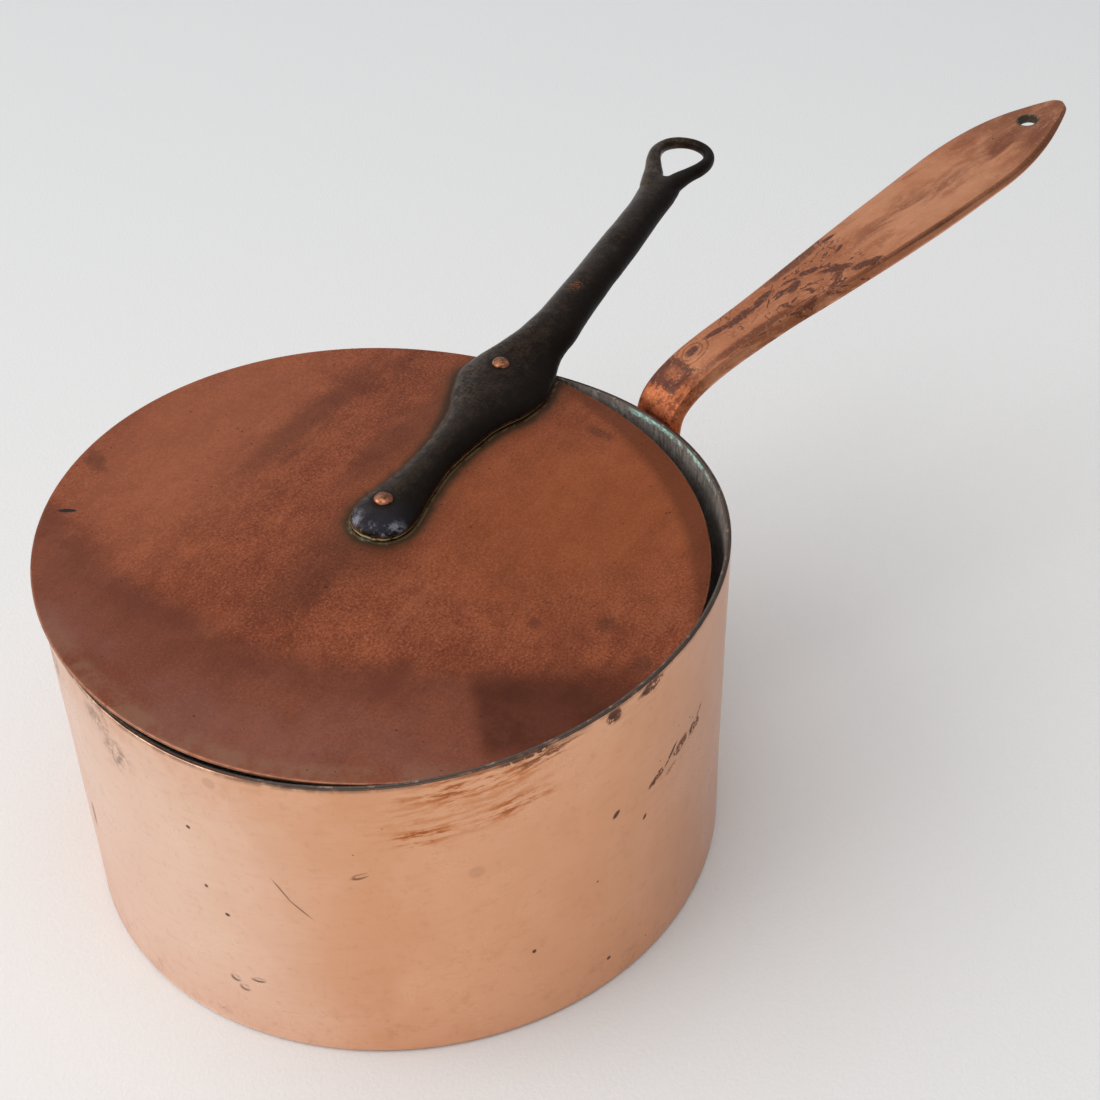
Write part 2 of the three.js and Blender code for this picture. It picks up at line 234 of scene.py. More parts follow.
WALL_SMUDGES = (
    (-173, 128, 8, 7, -20, 1.2, 0.6, 1),
    (-169, 117, 8, 6, -20, 1.4, 0.6, 1),
    (165, 124, 14, 6, 0, 1.2, 0.6, 1),
    (40, 96, 24, 9, 10, 1.4, 0.6, 1),
    (110, 60, 18, 12, 35, 1.4, 0.6, 1),
)
# Dents, pressed in by the bump and darkened with painted shade; below them, their lit lips, which the
# painted shade leaves out.
DENTS = (
    (-151.5, 28.9, 2.0, 1.7, 0, 0.5, 0.4, 1),
    (-150.0, 25, 2.2, 1.6, 10, 0.5, 0.4, 1),
    (-147.0, 32, 2.8, 1.2, 10, 0.5, 0.4, 1),
    (-127, 94, 3.2, 1.1, 20, 1.6, 0.4, 1),
    (20, 44, 2.6, 2.0, 20, 0.6, 0.4, 1),
    (104, 98, 2.2, 2.6, 0, 0.6, 0.4, 1),
)
DENT_LIPS = (
    (-151.2, 29.6, 1.9, 1.4, 0, 0.5, 0.4, 1),
    (-149.7, 25.7, 2.1, 1.3, 10, 0.5, 0.4, 1),
    (-146.8, 32.7, 2.7, 0.9, 10, 0.5, 0.4, 1),
    (-126.6, 94.6, 3.0, 0.8, 20, 1.6, 0.4, 1),
)
RING_MARKS = (
    (-109.7, 88.4, 2.8, 2.6, 0, 0.3, 0.3, 1),
    (-148.6, 128.2, 2.4, 2.2, 0, 0.3, 0.3, 1),
)
WALL_MARKS = (
    (-84.8, 85.4, 1.9, 1.1, 40, 1.0, 0.3, 1),
    (-150.4, 63.5, 1.0, 0.8, 0, 0.5, 0.3, 1),
    (-154.5, 102.5, 0.9, 0.8, 0, 0.5, 0.3, 1),
    (-153.5, 74.9, 0.8, 0.8, 0, 0.5, 0.3, 1),
    (172, 56, 1.6, 6, 0, 1.6, 0.4, 0.6),
    (-78.4, 73.3, 1.2, 0.7, 50, 0.8, 0.3, 1),
    (-101.4, 39, 0.8, 0.9, 0, 0.5, 0.3, 1),
    (-87.4, 14.3, 0.9, 0.8, 0, 0.5, 0.3, 1),
)

# The same in millimetres: on the wall rolled out flat, then on the pan handle and on the lid from above.
SCRATCHES = (
    (-304.6, 84, 5.4, 0.32, -61, 0, 0.5, 1),
    (-299.4, 76.2, 5.6, 0.32, -49, 0, 0.5, 1),
)
HANDLE_STROKES = (
    (167, 5.4, 7, 1.5, -8, 1.3, 0.25, 1),
    (177, 4.4, 7, 1.9, 4, 1.5, 0.25, 1),
    (189, 5.2, 8, 1.7, 12, 1.6, 0.25, 1),
    (203, 1.0, 4, 1.9, 20, 1.6, 0.25, 1),
    (213, 3.2, 4.5, 1.5, -20, 1.6, 0.25, 1),
    (221, -4, 7, 1.7, -30, 1.6, 0.25, 1),
    (231, -12, 7, 2.0, -18, 1.6, 0.25, 1),
    (232, 12.5, 3.6, 0.9, 0, 1.4, 0.25, 1),
    (231, 4.2, 3.0, 0.8, 20, 1.4, 0.25, 1),
    (214, 12, 16, 2.0, 4, 1.8, 0.3, 0.8),
    (172, -7.5, 24, 2.0, -2, 1.8, 0.4, 0.8),
)
HANDLE_SMUDGES = (
    (318, -1, 12, 3.4, 6, 1.4, 0.6, 0.9),
    (272, 0, 42, 3.0, -3, 1.6, 0.7, 0.6),
    (338, -6, 12, 2.2, 20, 1.4, 0.6, 0.7),
)
LID_SMEARS = (
    (50, 22, 38, 7, -4, 0.9, 0.6, 1),
    (50, 58, 42, 6, -5, 0.9, 0.6, 1),
)
# Painted shadow of the iron handle, cast on the lid beside its foot.
LID_HANDLE_SHADOW = (
    (-26, 6, 28, 9, -14, 0.8, 0.8, 0.85),
    (-12, 4, 15, 17, 0, 0.7, 0.7, 0.9),
)
LID_SPOTS = (
    (-5.6, -93.5, 4.2, 3.4, 0, 0.8, 0.5, 1),
    (-17.2, -71.5, 2.5, 2.1, 0, 0.8, 0.5, 1),
    (-18, -112, 4.2, 3.0, 0, 0.8, 0.5, 1),
    (105, 42.6, 1.5, 1.3, 0, 0.8, 0.4, 1),
    (-12, 114, 7, 3.4, 60, 1.6, 0.5, 1),
    (96, -47, 6, 2.6, 75, 1.8, 0.6, 1),
)


# ---------------------------------------------------------------- curves and shapes


def waves(lobes, angle):
    """Sum of the waves round the rim, at angles in radians."""
    return sum(size * np.cos(n * (angle - math.radians(peak))) for n, size, peak in lobes)


def wall_radius(angle, z):
    return BODY_RADIUS + waves(RIM_BULGE, angle) * z / BODY_HEIGHT


def rim_height(angle):
    return BODY_HEIGHT + waves(RIM_RISE, angle)


def spline(points, at, centripetal=False, closed=False):
    """Catmull-Rom curve through the points; at runs from 0 to 1 over the whole curve."""
    p = np.asarray(points, float)
    count = len(p)
    spans = count if closed else count - 1
    out = []
    for t in np.atleast_1d(at) * spans:
        i = min(int(t), spans - 1)
        w = t - i
        if closed:
            p0, p1, p2, p3 = (p[(i + k) % count] for k in (-1, 0, 1, 2))
        else:
            p1, p2 = p[i], p[i + 1]
            p0 = p[i - 1] if i else 2 * p1 - p2
            p3 = p[i + 2] if i + 2 < count else 2 * p2 - p1
        if centripetal:
            pairs = ((p0, p1), (p1, p2), (p2, p3))
            d0, d1, d2 = (max(np.linalg.norm(b - a) ** 0.5, 1e-4) for a, b in pairs)
            m1 = ((p1 - p0) / d0 - (p2 - p0) / (d0 + d1) + (p2 - p1) / d1) * d1
            m2 = ((p2 - p1) / d1 - (p3 - p1) / (d1 + d2) + (p3 - p2) / d2) * d1
        else:
            m1, m2 = (p2 - p0) / 2, (p3 - p1) / 2
        a, b = 2 * (p1 - p2) + m1 + m2, -3 * (p1 - p2) - 2 * m1 - m2
        out.append(((a * w + b) * w + m1) * w + p1)
    return np.array(out)


def even_spline(points, count, closed=False):
    """The same curve in steps of equal length, with its directions."""
    fine = spline(points, np.linspace(0, 1, 2400), True, closed)
    length = np.concatenate(([0], np.cumsum(np.linalg.norm(np.diff(fine, axis=0), axis=1))))
    stops = np.linspace(0, length[-1], count + 1 if closed else count)
    if closed:
        stops = stops[:-1]
    place = np.stack([np.interp(stops, length, fine[:, k]) for k in range(fine.shape[1])], 1)
    slope = np.gradient(fine, length, axis=0)
    along = np.stack([np.interp(stops, length, slope[:, k]) for k in range(fine.shape[1])], 1)
    return place, along / np.linalg.norm(along, axis=1)[:, None]


def soft_step(value, low, high):
    t = np.clip((value - low) / (high - low), 0, 1)
    return t * t * (3 - 2 * t)


def lid_matrix():
    """From the lid's own frame, in millimetres, to the part's frame."""
    low = math.radians(LID_LOW_SIDE)
    axis = Vector((-math.sin(low), math.cos(low), 0))
    tilt = Matrix.Rotation(math.radians(LID_TILT), 4, axis)
    turn = Matrix.Rotation(math.radians(LID_HANDLE_ANGLE), 4, "Z")
    return Matrix.Translation(LID_CENTRE) @ tilt @ turn


def ripple(points, size, wavelength, seed):
    """Smooth hand-made unevenness: the sum of a few fixed waves, about -1 to 1 times size."""
    rng = np.random.default_rng(seed)
    total = np.zeros(len(points))
    for _ in range(9):
        direction = rng.normal(size=3)
        direction /= np.linalg.norm(direction) * wavelength * rng.uniform(0.7, 1.5)
        total += np.sin(2 * np.pi * (points @ direction + rng.random()))
    return size * total / 4


def mesh_object(name, points, faces, material, matrix=None, sharp=35.0):
    """Object from points in millimetres, welded, facing out, smooth except at sharp edges."""
    bm = bmesh.new()
    verts = [bm.verts.new(Vector(p) * MM) for p in points]
    for face in faces:
        bm.faces.new([verts[i] for i in face])
    bmesh.ops.remove_doubles(bm, verts=bm.verts, dist=1e-7)
    bmesh.ops.dissolve_degenerate(bm, edges=bm.edges, dist=1e-8)
    bmesh.ops.recalc_face_normals(bm, faces=bm.faces)
    if matrix is not None:
        bm.transform(Matrix.Scale(MM, 4) @ matrix @ Matrix.Scale(1 / MM, 4))
    mesh = bpy.data.meshes.new(name)
    bm.to_mesh(mesh)
    bm.free()
    obj = link_object(name, mesh)
    mesh.materials.append(material)
    shade(obj, sharp)
    return obj


def shade(obj, sharp):
    bm = bmesh.new()
    bm.from_mesh(obj.data)
    for face in bm.faces:
        face.smooth = True
    for edge in bm.edges:
        edge.smooth = len(edge.link_faces) != 2 or edge.calc_face_angle() < math.radians(sharp)
    bm.to_mesh(obj.data)
    bm.free()


def grid_faces(rows, columns, ring_rows=False):
    """Faces between rows of points; each row is a ring, and the rows too may close on themselves."""
    faces = []
    for i in range(rows if ring_rows else rows - 1):
        for j in range(columns):
            a, b = i * columns, ((i + 1) % rows) * columns
            k = (j + 1) % columns
            faces.append((a + j, b + j, b + k, a + k))
    return faces


def turned(profile, steps):
    """Points and faces of a closed profile [(radius, z)] swept round Z. Radii and heights may be
    arrays with one value per step."""
    angle = np.linspace(0, 2 * np.pi, steps, endpoint=False)
    rows = [
        np.stack([r * np.cos(angle), r * np.sin(angle), z + np.zeros(steps)], 1)
        for r, z in profile
    ]
    return np.concatenate(rows), grid_faces(len(rows), steps, ring_rows=True)


def link_object(name, data):
    obj = bpy.data.objects.new(name, data)
    bpy.context.collection.objects.link(obj)
    return obj


def vertex_vectors(mesh, what):
    values = np.empty(len(mesh.vertices) * 3)
    mesh.vertices.foreach_get(what, values)
    return values.reshape(-1, 3)


def store_values(mesh, name, values):
    """Keeps one number for each vertex, for the materials."""
    mesh.attributes.new(name, "FLOAT", "POINT").data.foreach_set("value", values)


def add_modifier(obj, name, kind, **settings):
    modifier = obj.modifiers.new(name, kind)
    for key, value in settings.items():
        setattr(modifier, key, value)


def apply_modifiers(obj):
    graph = bpy.context.evaluated_depsgraph_get()
    mesh = bpy.data.meshes.new_from_object(obj.evaluated_get(graph), depsgraph=graph)
    obj.modifiers.clear()
    obj.data = mesh


# ---------------------------------------------------------------- node materials


class Paint:
    """One node material. Each method adds nodes and gives back their output."""

    def __init__(self, name, frame=None):
        self.material = bpy.data.materials.new(name)
        self.material.use_nodes = True
        self.tree = self.material.node_tree
        self.tree.nodes.clear()
        self.shader = self.tree.nodes.new("ShaderNodeBsdfPrincipled")
        out = self.tree.nodes.new("ShaderNodeOutputMaterial")
        self.tree.links.new(self.shader.outputs[0], out.inputs["Surface"])
        frame = frame or Matrix()
        place = self.tree.nodes.new("ShaderNodeTexCoord").outputs["Object"]
        self.place = self.mapped(place, frame.translation * MM, frame.to_euler(), (MM, MM, MM))
        self.x, self.y, self.z = self.node("ShaderNodeSeparateXYZ", self.place).outputs
        self.colour = None

    def node(self, kind, *inputs, **settings):
        node = self.tree.nodes.new(kind)
        for key, value in settings.items():
            setattr(node, key, value)
        for i, value in enumerate(inputs):
            self.put(node.inputs[i], value)
        return node

    def put(self, socket, value):
        if isinstance(value, bpy.types.NodeSocket):
            self.tree.links.new(value, socket)
        elif value is not None:
            socket.default_value = value

    def math(self, operation, *values, clamp=False):
        node = self.node("ShaderNodeMath", *values, operation=operation)
        node.use_clamp = clamp
        return node.outputs[0]

    def add(self, *values):
        return functools.reduce(functools.partial(self.math, "ADD"), values)

    def times(self, *values):
        return functools.reduce(functools.partial(self.math, "MULTIPLY"), values)

    def top(self, *values):
        return functools.reduce(functools.partial(self.math, "MAXIMUM"), values)

    def scaled(self, value, factor, offset):
        return self.math("MULTIPLY_ADD", value, factor, offset)

    def step(self, value, low, high):
        """0 below low, 1 above high, smooth between; low may be the larger one."""
        node = self.node("ShaderNodeMapRange", value, low, high, 0.0, 1.0)
        node.interpolation_type = "SMOOTHSTEP"
        return node.outputs[0]

    def mapped(self, vector, place=(0, 0, 0), turn=(0, 0, 0), size=(1, 1, 1)):
        """The vector seen from a frame with that place, turn and size."""
        node = self.node("ShaderNodeMapping", vector, vector_type="TEXTURE")
        node.inputs["Location"].default_value = place
        node.inputs["Rotation"].default_value = turn
        node.inputs["Scale"].default_value = size
        return node.outputs[0]

    def vector(self, x, y):
        return self.node("ShaderNodeCombineXYZ", x, y, 0.0).outputs[0]

    def length(self, vector):
        return self.node("ShaderNodeVectorMath", vector, operation="LENGTH").outputs["Value"]

    def attribute(self, name):
        return self.node("ShaderNodeAttribute", attribute_name=name).outputs["Fac"]

    def noise(self, size, detail=3.0, rough=0.55, vector=None, stretch=(1, 1, 1), warp=0.0):
        """Noise from 0 to 1 with features of that size in millimetres."""
        node = self.tree.nodes.new("ShaderNodeTexNoise")
        self.put(node.inputs["Vector"], self.mapped(vector or self.place, size=stretch))
        node.inputs["Scale"].default_value = 1.0 / size
        node.inputs["Detail"].default_value = detail
        node.inputs["Roughness"].default_value = rough
        node.inputs["Distortion"].default_value = warp
        return node.outputs["Fac"]

    def patches(self, size, detail, rough, low, high):
        """Noise cut into patches: 0 below low, 1 above high."""
        return self.step(self.noise(size, detail, rough), low, high)

    def specks(self, spacing, radius, share):
        """Round specks, in that share of the cells of a loose grid."""
        node = self.tree.nodes.new("ShaderNodeTexVoronoi")
        self.put(node.inputs["Vector"], self.place)
        node.inputs["Scale"].default_value = 1.0 / spacing
        near = self.step(node.outputs["Distance"], radius / spacing, 0.5 * radius / spacing)
        pick = self.node("ShaderNodeSeparateColor", node.outputs["Color"]).outputs[0]
        return self.times(near, self.math("LESS_THAN", pick, share))

    def blot(self, vector, centre, size, turn=0.0, ragged=0.0, grain=None, soft=0.35):
        """1 inside an oval, 0 outside, with a soft and ragged edge."""
        local = self.mapped(vector, (*centre, 0), (0, 0, math.radians(turn)), (*size, 1))
        flat = self.node("ShaderNodeVectorMath", local, (1, 1, 0), operation="MULTIPLY")
        away = self.length(flat.outputs[0])
        if ragged:
            away = self.math("MULTIPLY_ADD", self.add(grain, -0.5), ragged, away)
        return self.step(away, 1 + soft, 1 - soft)

    def blots(self, vector, rows, grain):
        """All the ovals of a table."""
        ovals = []
        for x, y, long, wide, turn, ragged, soft, strength in rows:
            oval = self.blot(vector, (x, y), (long, wide), turn, ragged, grain, soft)
            ovals.append(oval if strength == 1 else self.times(oval, strength))
        return self.top(*ovals)

    def mix(self, share, first, second):
        node = self.node("ShaderNodeMix", data_type="RGBA")
        self.put(node.inputs[0], share)
        for socket, value in ((node.inputs[6], first), (node.inputs[7], second)):
            if isinstance(value, tuple):
                value = (*value, 1.0)
            self.put(socket, value)
        return node.outputs[2]

    def coat(self, share, tint, strength=1.0):
        """Lays a tint over the colour where share is high."""
        if strength < 1:
            share = self.times(share, strength)
        self.colour = self.mix(share, self.colour, tint)

    def finish(self, metal, rough, height, depth, **fixed):
        """depth is the bump's full height in millimetres."""
        for name, value in (("Base Color", self.colour), ("Metallic", metal), ("Roughness", rough)):
            self.put(self.shader.inputs[name], value)
        for name, value in fixed.items():
            self.shader.inputs[name.replace("_", " ")].default_value = value
        bump = self.tree.nodes.new("ShaderNodeBump")
        bump.inputs["Strength"].default_value = 1.0
        bump.inputs["Distance"].default_value = depth * MM
        self.put(bump.inputs["Height"], height)
        self.put(self.shader.inputs["Normal"], bump.outputs[0])
        return self.material


def unrolled(paint):
    """The wall rolled out flat: millimetres round it from +X, and height."""
    angle = paint.math("ARCTAN2", paint.y, paint.x)
    return paint.vector(paint.times(angle, BODY_RADIUS), paint.z), angle


def below_rim(paint, angle):
    """Millimetres below the waving rim."""
    total = paint.scaled(paint.z, -1.0, BODY_HEIGHT)
    for lobes, size, peak in RIM_RISE:
        turned_by = paint.scaled(angle, float(lobes), -lobes * math.radians(peak))
        wave = paint.math("COSINE", turned_by)
        total = paint.scaled(wave, size, total)
    return total


def on_wall(degrees, z):
    return math.radians(degrees) * BODY_RADIUS, z


def wall_blots(paint, flat, rows, grain):
    return paint.blots(flat, [(*on_wall(angle, z), *rest) for angle, z, *rest in rows], grain)


def wall_copper():
    """Polished copper with faint handling marks, stains under the rim and small dark specks; a painted
    reflection pales its left side, and painted shade darkens its right side and its dents.
    """
    p = Paint("polished_copper")
    flat, angle = unrolled(p)
    depth = below_rim(p, angle)
    grain = p.noise(7, 4, 0.65)
    clouds = p.noise(55, 4, 0.6)
    mottle = p.noise(16, 4, 0.7)
    p.colour = p.mix(p.step(clouds, 0.35, 0.65), (0.83, 0.46, 0.285), (0.76, 0.39, 0.22))
    p.coat(p.step(mottle, 0.52, 0.72), (0.70, 0.34, 0.18), 0.35)
    # Painted reflection: paler copper on the left side of the wall, with a match on the far side.
    painted_reflection = wall_blots(p, flat, PAINTED_REFLECTION_ZONES, clouds)
    p.coat(painted_reflection, (0.90, 0.65, 0.51), 0.85)
    front = p.blot(flat, on_wall(-98, 60), (36, 80), 0, 0.8, clouds, 0.75)
    p.coat(front, (0.73, 0.355, 0.195), 0.4)
    degrees = p.times(angle, 180 / math.pi)
    # Painted shade: darker copper on the right of the wall, between about -88 and -20 degrees round it.
    painted_shade_right = p.times(p.step(degrees, -88, -58), p.step(degrees, -20, -45))
    p.coat(painted_shade_right, (0.56, 0.27, 0.155), 0.45)
    handled = p.times(p.step(depth, 26, 3), p.patches(22, 4, 0.7, 0.45, 0.62), 0.4)
    p.coat(handled, (0.72, 0.36, 0.20))

    sloping = p.mapped(flat, turn=(0, 0, math.radians(5)), size=(5.5, 1, 1))
    brushed = p.noise(2.6, 5, 0.74, vector=sloping)
    streaks = wall_blots(p, flat, STREAKS, grain)
    streaks = p.times(streaks, p.step(brushed, 0.43, 0.58))
    p.coat(streaks, (0.60, 0.205, 0.060), 0.85)
    cores = wall_blots(p, flat, STREAK_CORES, grain)
    cores = p.times(cores, p.step(brushed, 0.49, 0.58))
    p.coat(cores, (0.36, 0.088, 0.022), 0.8)
    deep = p.blot(flat, on_wall(-97, 131), (12, 2.3), 3, 0.8, grain, 0.5)
    deep = p.times(deep, p.step(brushed, 0.47, 0.54))
    p.coat(deep, (0.17, 0.045, 0.02), 0.8)

    tarnish_high = wall_blots(p, flat, TARNISH_BY_RIM, grain)
    tarnish_high = p.times(tarnish_high, p.patches(2.2, 5, 0.75, 0.39, 0.45))
    tarnish = wall_blots(p, flat, TARNISH, grain)
    tarnish = p.top(p.times(tarnish, p.patches(1.9, 5, 0.78, 0.42, 0.48)), tarnish_high)
    p.coat(tarnish, (0.075, 0.028, 0.020), 0.93)
    halo = wall_blots(p, flat, TARNISH_HALOS, grain)
    p.coat(p.times(halo, p.step(brushed, 0.4, 0.7)), (0.55, 0.22, 0.10), 0.4)

    smudge = wall_blots(p, flat, WALL_SMUDGES, grain)
    smudge = p.times(smudge, p.patches(5, 5, 0.75, 0.40, 0.62))
    p.coat(smudge, (0.27, 0.17, 0.135), 0.7)

    dents = wall_blots(p, flat, DENTS, grain)
    lit = wall_blots(p, flat, DENT_LIPS, grain)
    # Painted shade inside the dents; their lit lips stay unpainted.
    painted_dent_shade = p.math("SUBTRACT", dents, p.times(lit, 0.9), clamp=True)
    ring = wall_blots(p, flat, RING_MARKS, grain)
    scratch = p.blots(flat, SCRATCHES, None)
    marks = p.top(
        wall_blots(p, flat, WALL_MARKS, grain),
        p.times(p.specks(2.6, 0.5, 0.35), p.blot(flat, on_wall(-68, 92), (17, 9), 12, 1.2, grain, 0.5)),
        p.times(scratch, 0.75),
        p.specks(13, 0.55, 0.16),
        p.times(p.specks(6, 0.42, 0.22), p.step(p.z, 30, 4)),
        p.times(p.specks(4, 0.4, 0.10), p.step(depth, 30, 6)),
    )
    # Painted shade in the dents.
    p.coat(painted_dent_shade, (0.11, 0.05, 0.03), 0.85)
    p.coat(ring, (0.44, 0.22, 0.14), 0.30)
    p.coat(p.step(brushed, 0.50, 0.72), (0.55, 0.25, 0.13), 0.16)
    p.coat(p.patches(4, 5, 0.75, 0.54, 0.66), (0.52, 0.24, 0.13), 0.16)
    p.coat(p.times(p.patches(9, 5, 0.7, 0.54, 0.68), p.step(p.z, 34, 2)), (0.50, 0.24, 0.14), 0.35)
    p.coat(marks, (0.07, 0.035, 0.022), 0.85)
    p.coat(p.times(p.step(depth, 2.2, 0.5), p.step(grain, 0.3, 0.6)), (0.28, 0.14, 0.09), 0.75)
    far = p.step(degrees, -155, -135)
    edge = p.times(p.step(depth, 0.45, 0.15), p.step(mottle, 0.24, 0.46), far)
    p.coat(edge, (0.070, 0.055, 0.047), 0.88)

    rough = p.add(
        p.scaled(p.step(clouds, 0.3, 0.7), 0.05, 0.26),
        p.times(p.top(tarnish, marks, painted_dent_shade), 0.3),
        p.times(p.top(streaks, smudge), 0.16),
    )
    height = p.add(
        p.times(p.noise(24, 2, 0.5), 1.6),
        p.times(p.noise(1.4, 3, 0.6), 0.035),
        p.times(p.noise(0.7, 2, 0.5, vector=flat, stretch=(14, 1, 1)), 0.03),
        p.times(dents, -1.6),
        p.times(p.top(marks, scratch), -0.35),
    )
    return p.finish(1.0, rough, height, 0.16, Specular_IOR_Level=0.5)


def lining_tin():
    """Old dull tin: mottled grey with upright grain, a dark lip, verdigris beside the handle, painted
    glints just under the rim and painted highlights on the lip.
    """
    p = Paint("old_tin")
    flat, angle = unrolled(p)
    depth = below_rim(p, angle)
    arc = p.times(angle, BODY_RADIUS)
    fine = p.noise(2.0, 5, 0.72)
    upright = p.noise(1.6, 4, 0.7, vector=flat, stretch=(1, 7, 1))
    mottle = p.noise(11, 5, 0.7)
    p.colour = p.mix(p.step(mottle, 0.35, 0.65), (0.35, 0.295, 0.262), (0.21, 0.175, 0.152))
    p.coat(p.step(upright, 0.48, 0.62), (0.56, 0.50, 0.455), 0.6)
    p.coat(p.step(fine, 0.50, 0.38), (0.12, 0.098, 0.086), 0.6)
    spread = p.scaled(p.noise(3.2, 5, 0.8), 6.5, depth)
    along = p.times(p.step(arc, 14, 4), p.step(arc, -60, -42))
    patches = p.times(along, p.step(spread, 6.3, 5.5), p.step(depth, 0.35, 0.8))
    old = p.times(p.step(depth, 7, 1), p.patches(8, 5, 0.75, 0.63, 0.68), 0.5)
    patches = p.times(patches, p.patches(5.5, 4, 0.75, 0.40, 0.50))
    green = p.top(patches, old)
    p.coat(green, (0.25, 0.50, 0.41))
    p.coat(p.times(green, p.step(fine, 0.47, 0.57)), (0.58, 0.80, 0.70))
    # Painted glints: lighter tin in upright streaks just under the rim, from about -28 to -180 degrees
    # round it.
    painted_tin_glints = p.times(p.step(depth, 5, 1), p.step(upright, 0.55, 0.66), p.step(arc, -46, -62))
    p.coat(painted_tin_glints, (0.66, 0.64, 0.62), 0.6)
    lip = p.step(depth, 0.40, 0.20)
    p.coat(lip, (0.072, 0.052, 0.042), 0.92)
    # Painted highlights: lighter patches on the dark lip.
    painted_lip_highlights = p.times(lip, p.patches(6, 5, 0.75, 0.54, 0.64))
    p.coat(painted_lip_highlights, (0.34, 0.26, 0.21), 0.7)
    metal = p.scaled(green, -0.35, 0.4)
    rough = p.add(0.40, p.times(mottle, 0.2), p.times(green, 0.25))
    height = p.add(p.times(fine, 0.5), p.times(upright, 0.4), p.times(mottle, 0.7), p.times(green, 0.6))
    return p.finish(metal, rough, height, 0.13)


def lining_tin_lid():
    """The same old tin under the lid, plainer and with brown patches."""
    p = Paint("old_tin_lid")
    fine = p.noise(2.2, 5, 0.7)
    mottle = p.noise(13, 5, 0.7)
    p.colour = p.mix(p.step(mottle, 0.35, 0.65), (0.36, 0.35, 0.33), (0.19, 0.18, 0.17))
    p.coat(p.step(fine, 0.52, 0.66), (0.46, 0.45, 0.43), 0.5)
    p.coat(p.patches(24, 4, 0.6, 0.56, 0.70), (0.30, 0.17, 0.11), 0.6)
    rough = p.scaled(mottle, 0.22, 0.36)
    height = p.add(p.times(fine, 0.5), p.times(mottle, 0.8))
    return p.finish(0.8, rough, height, 0.12)


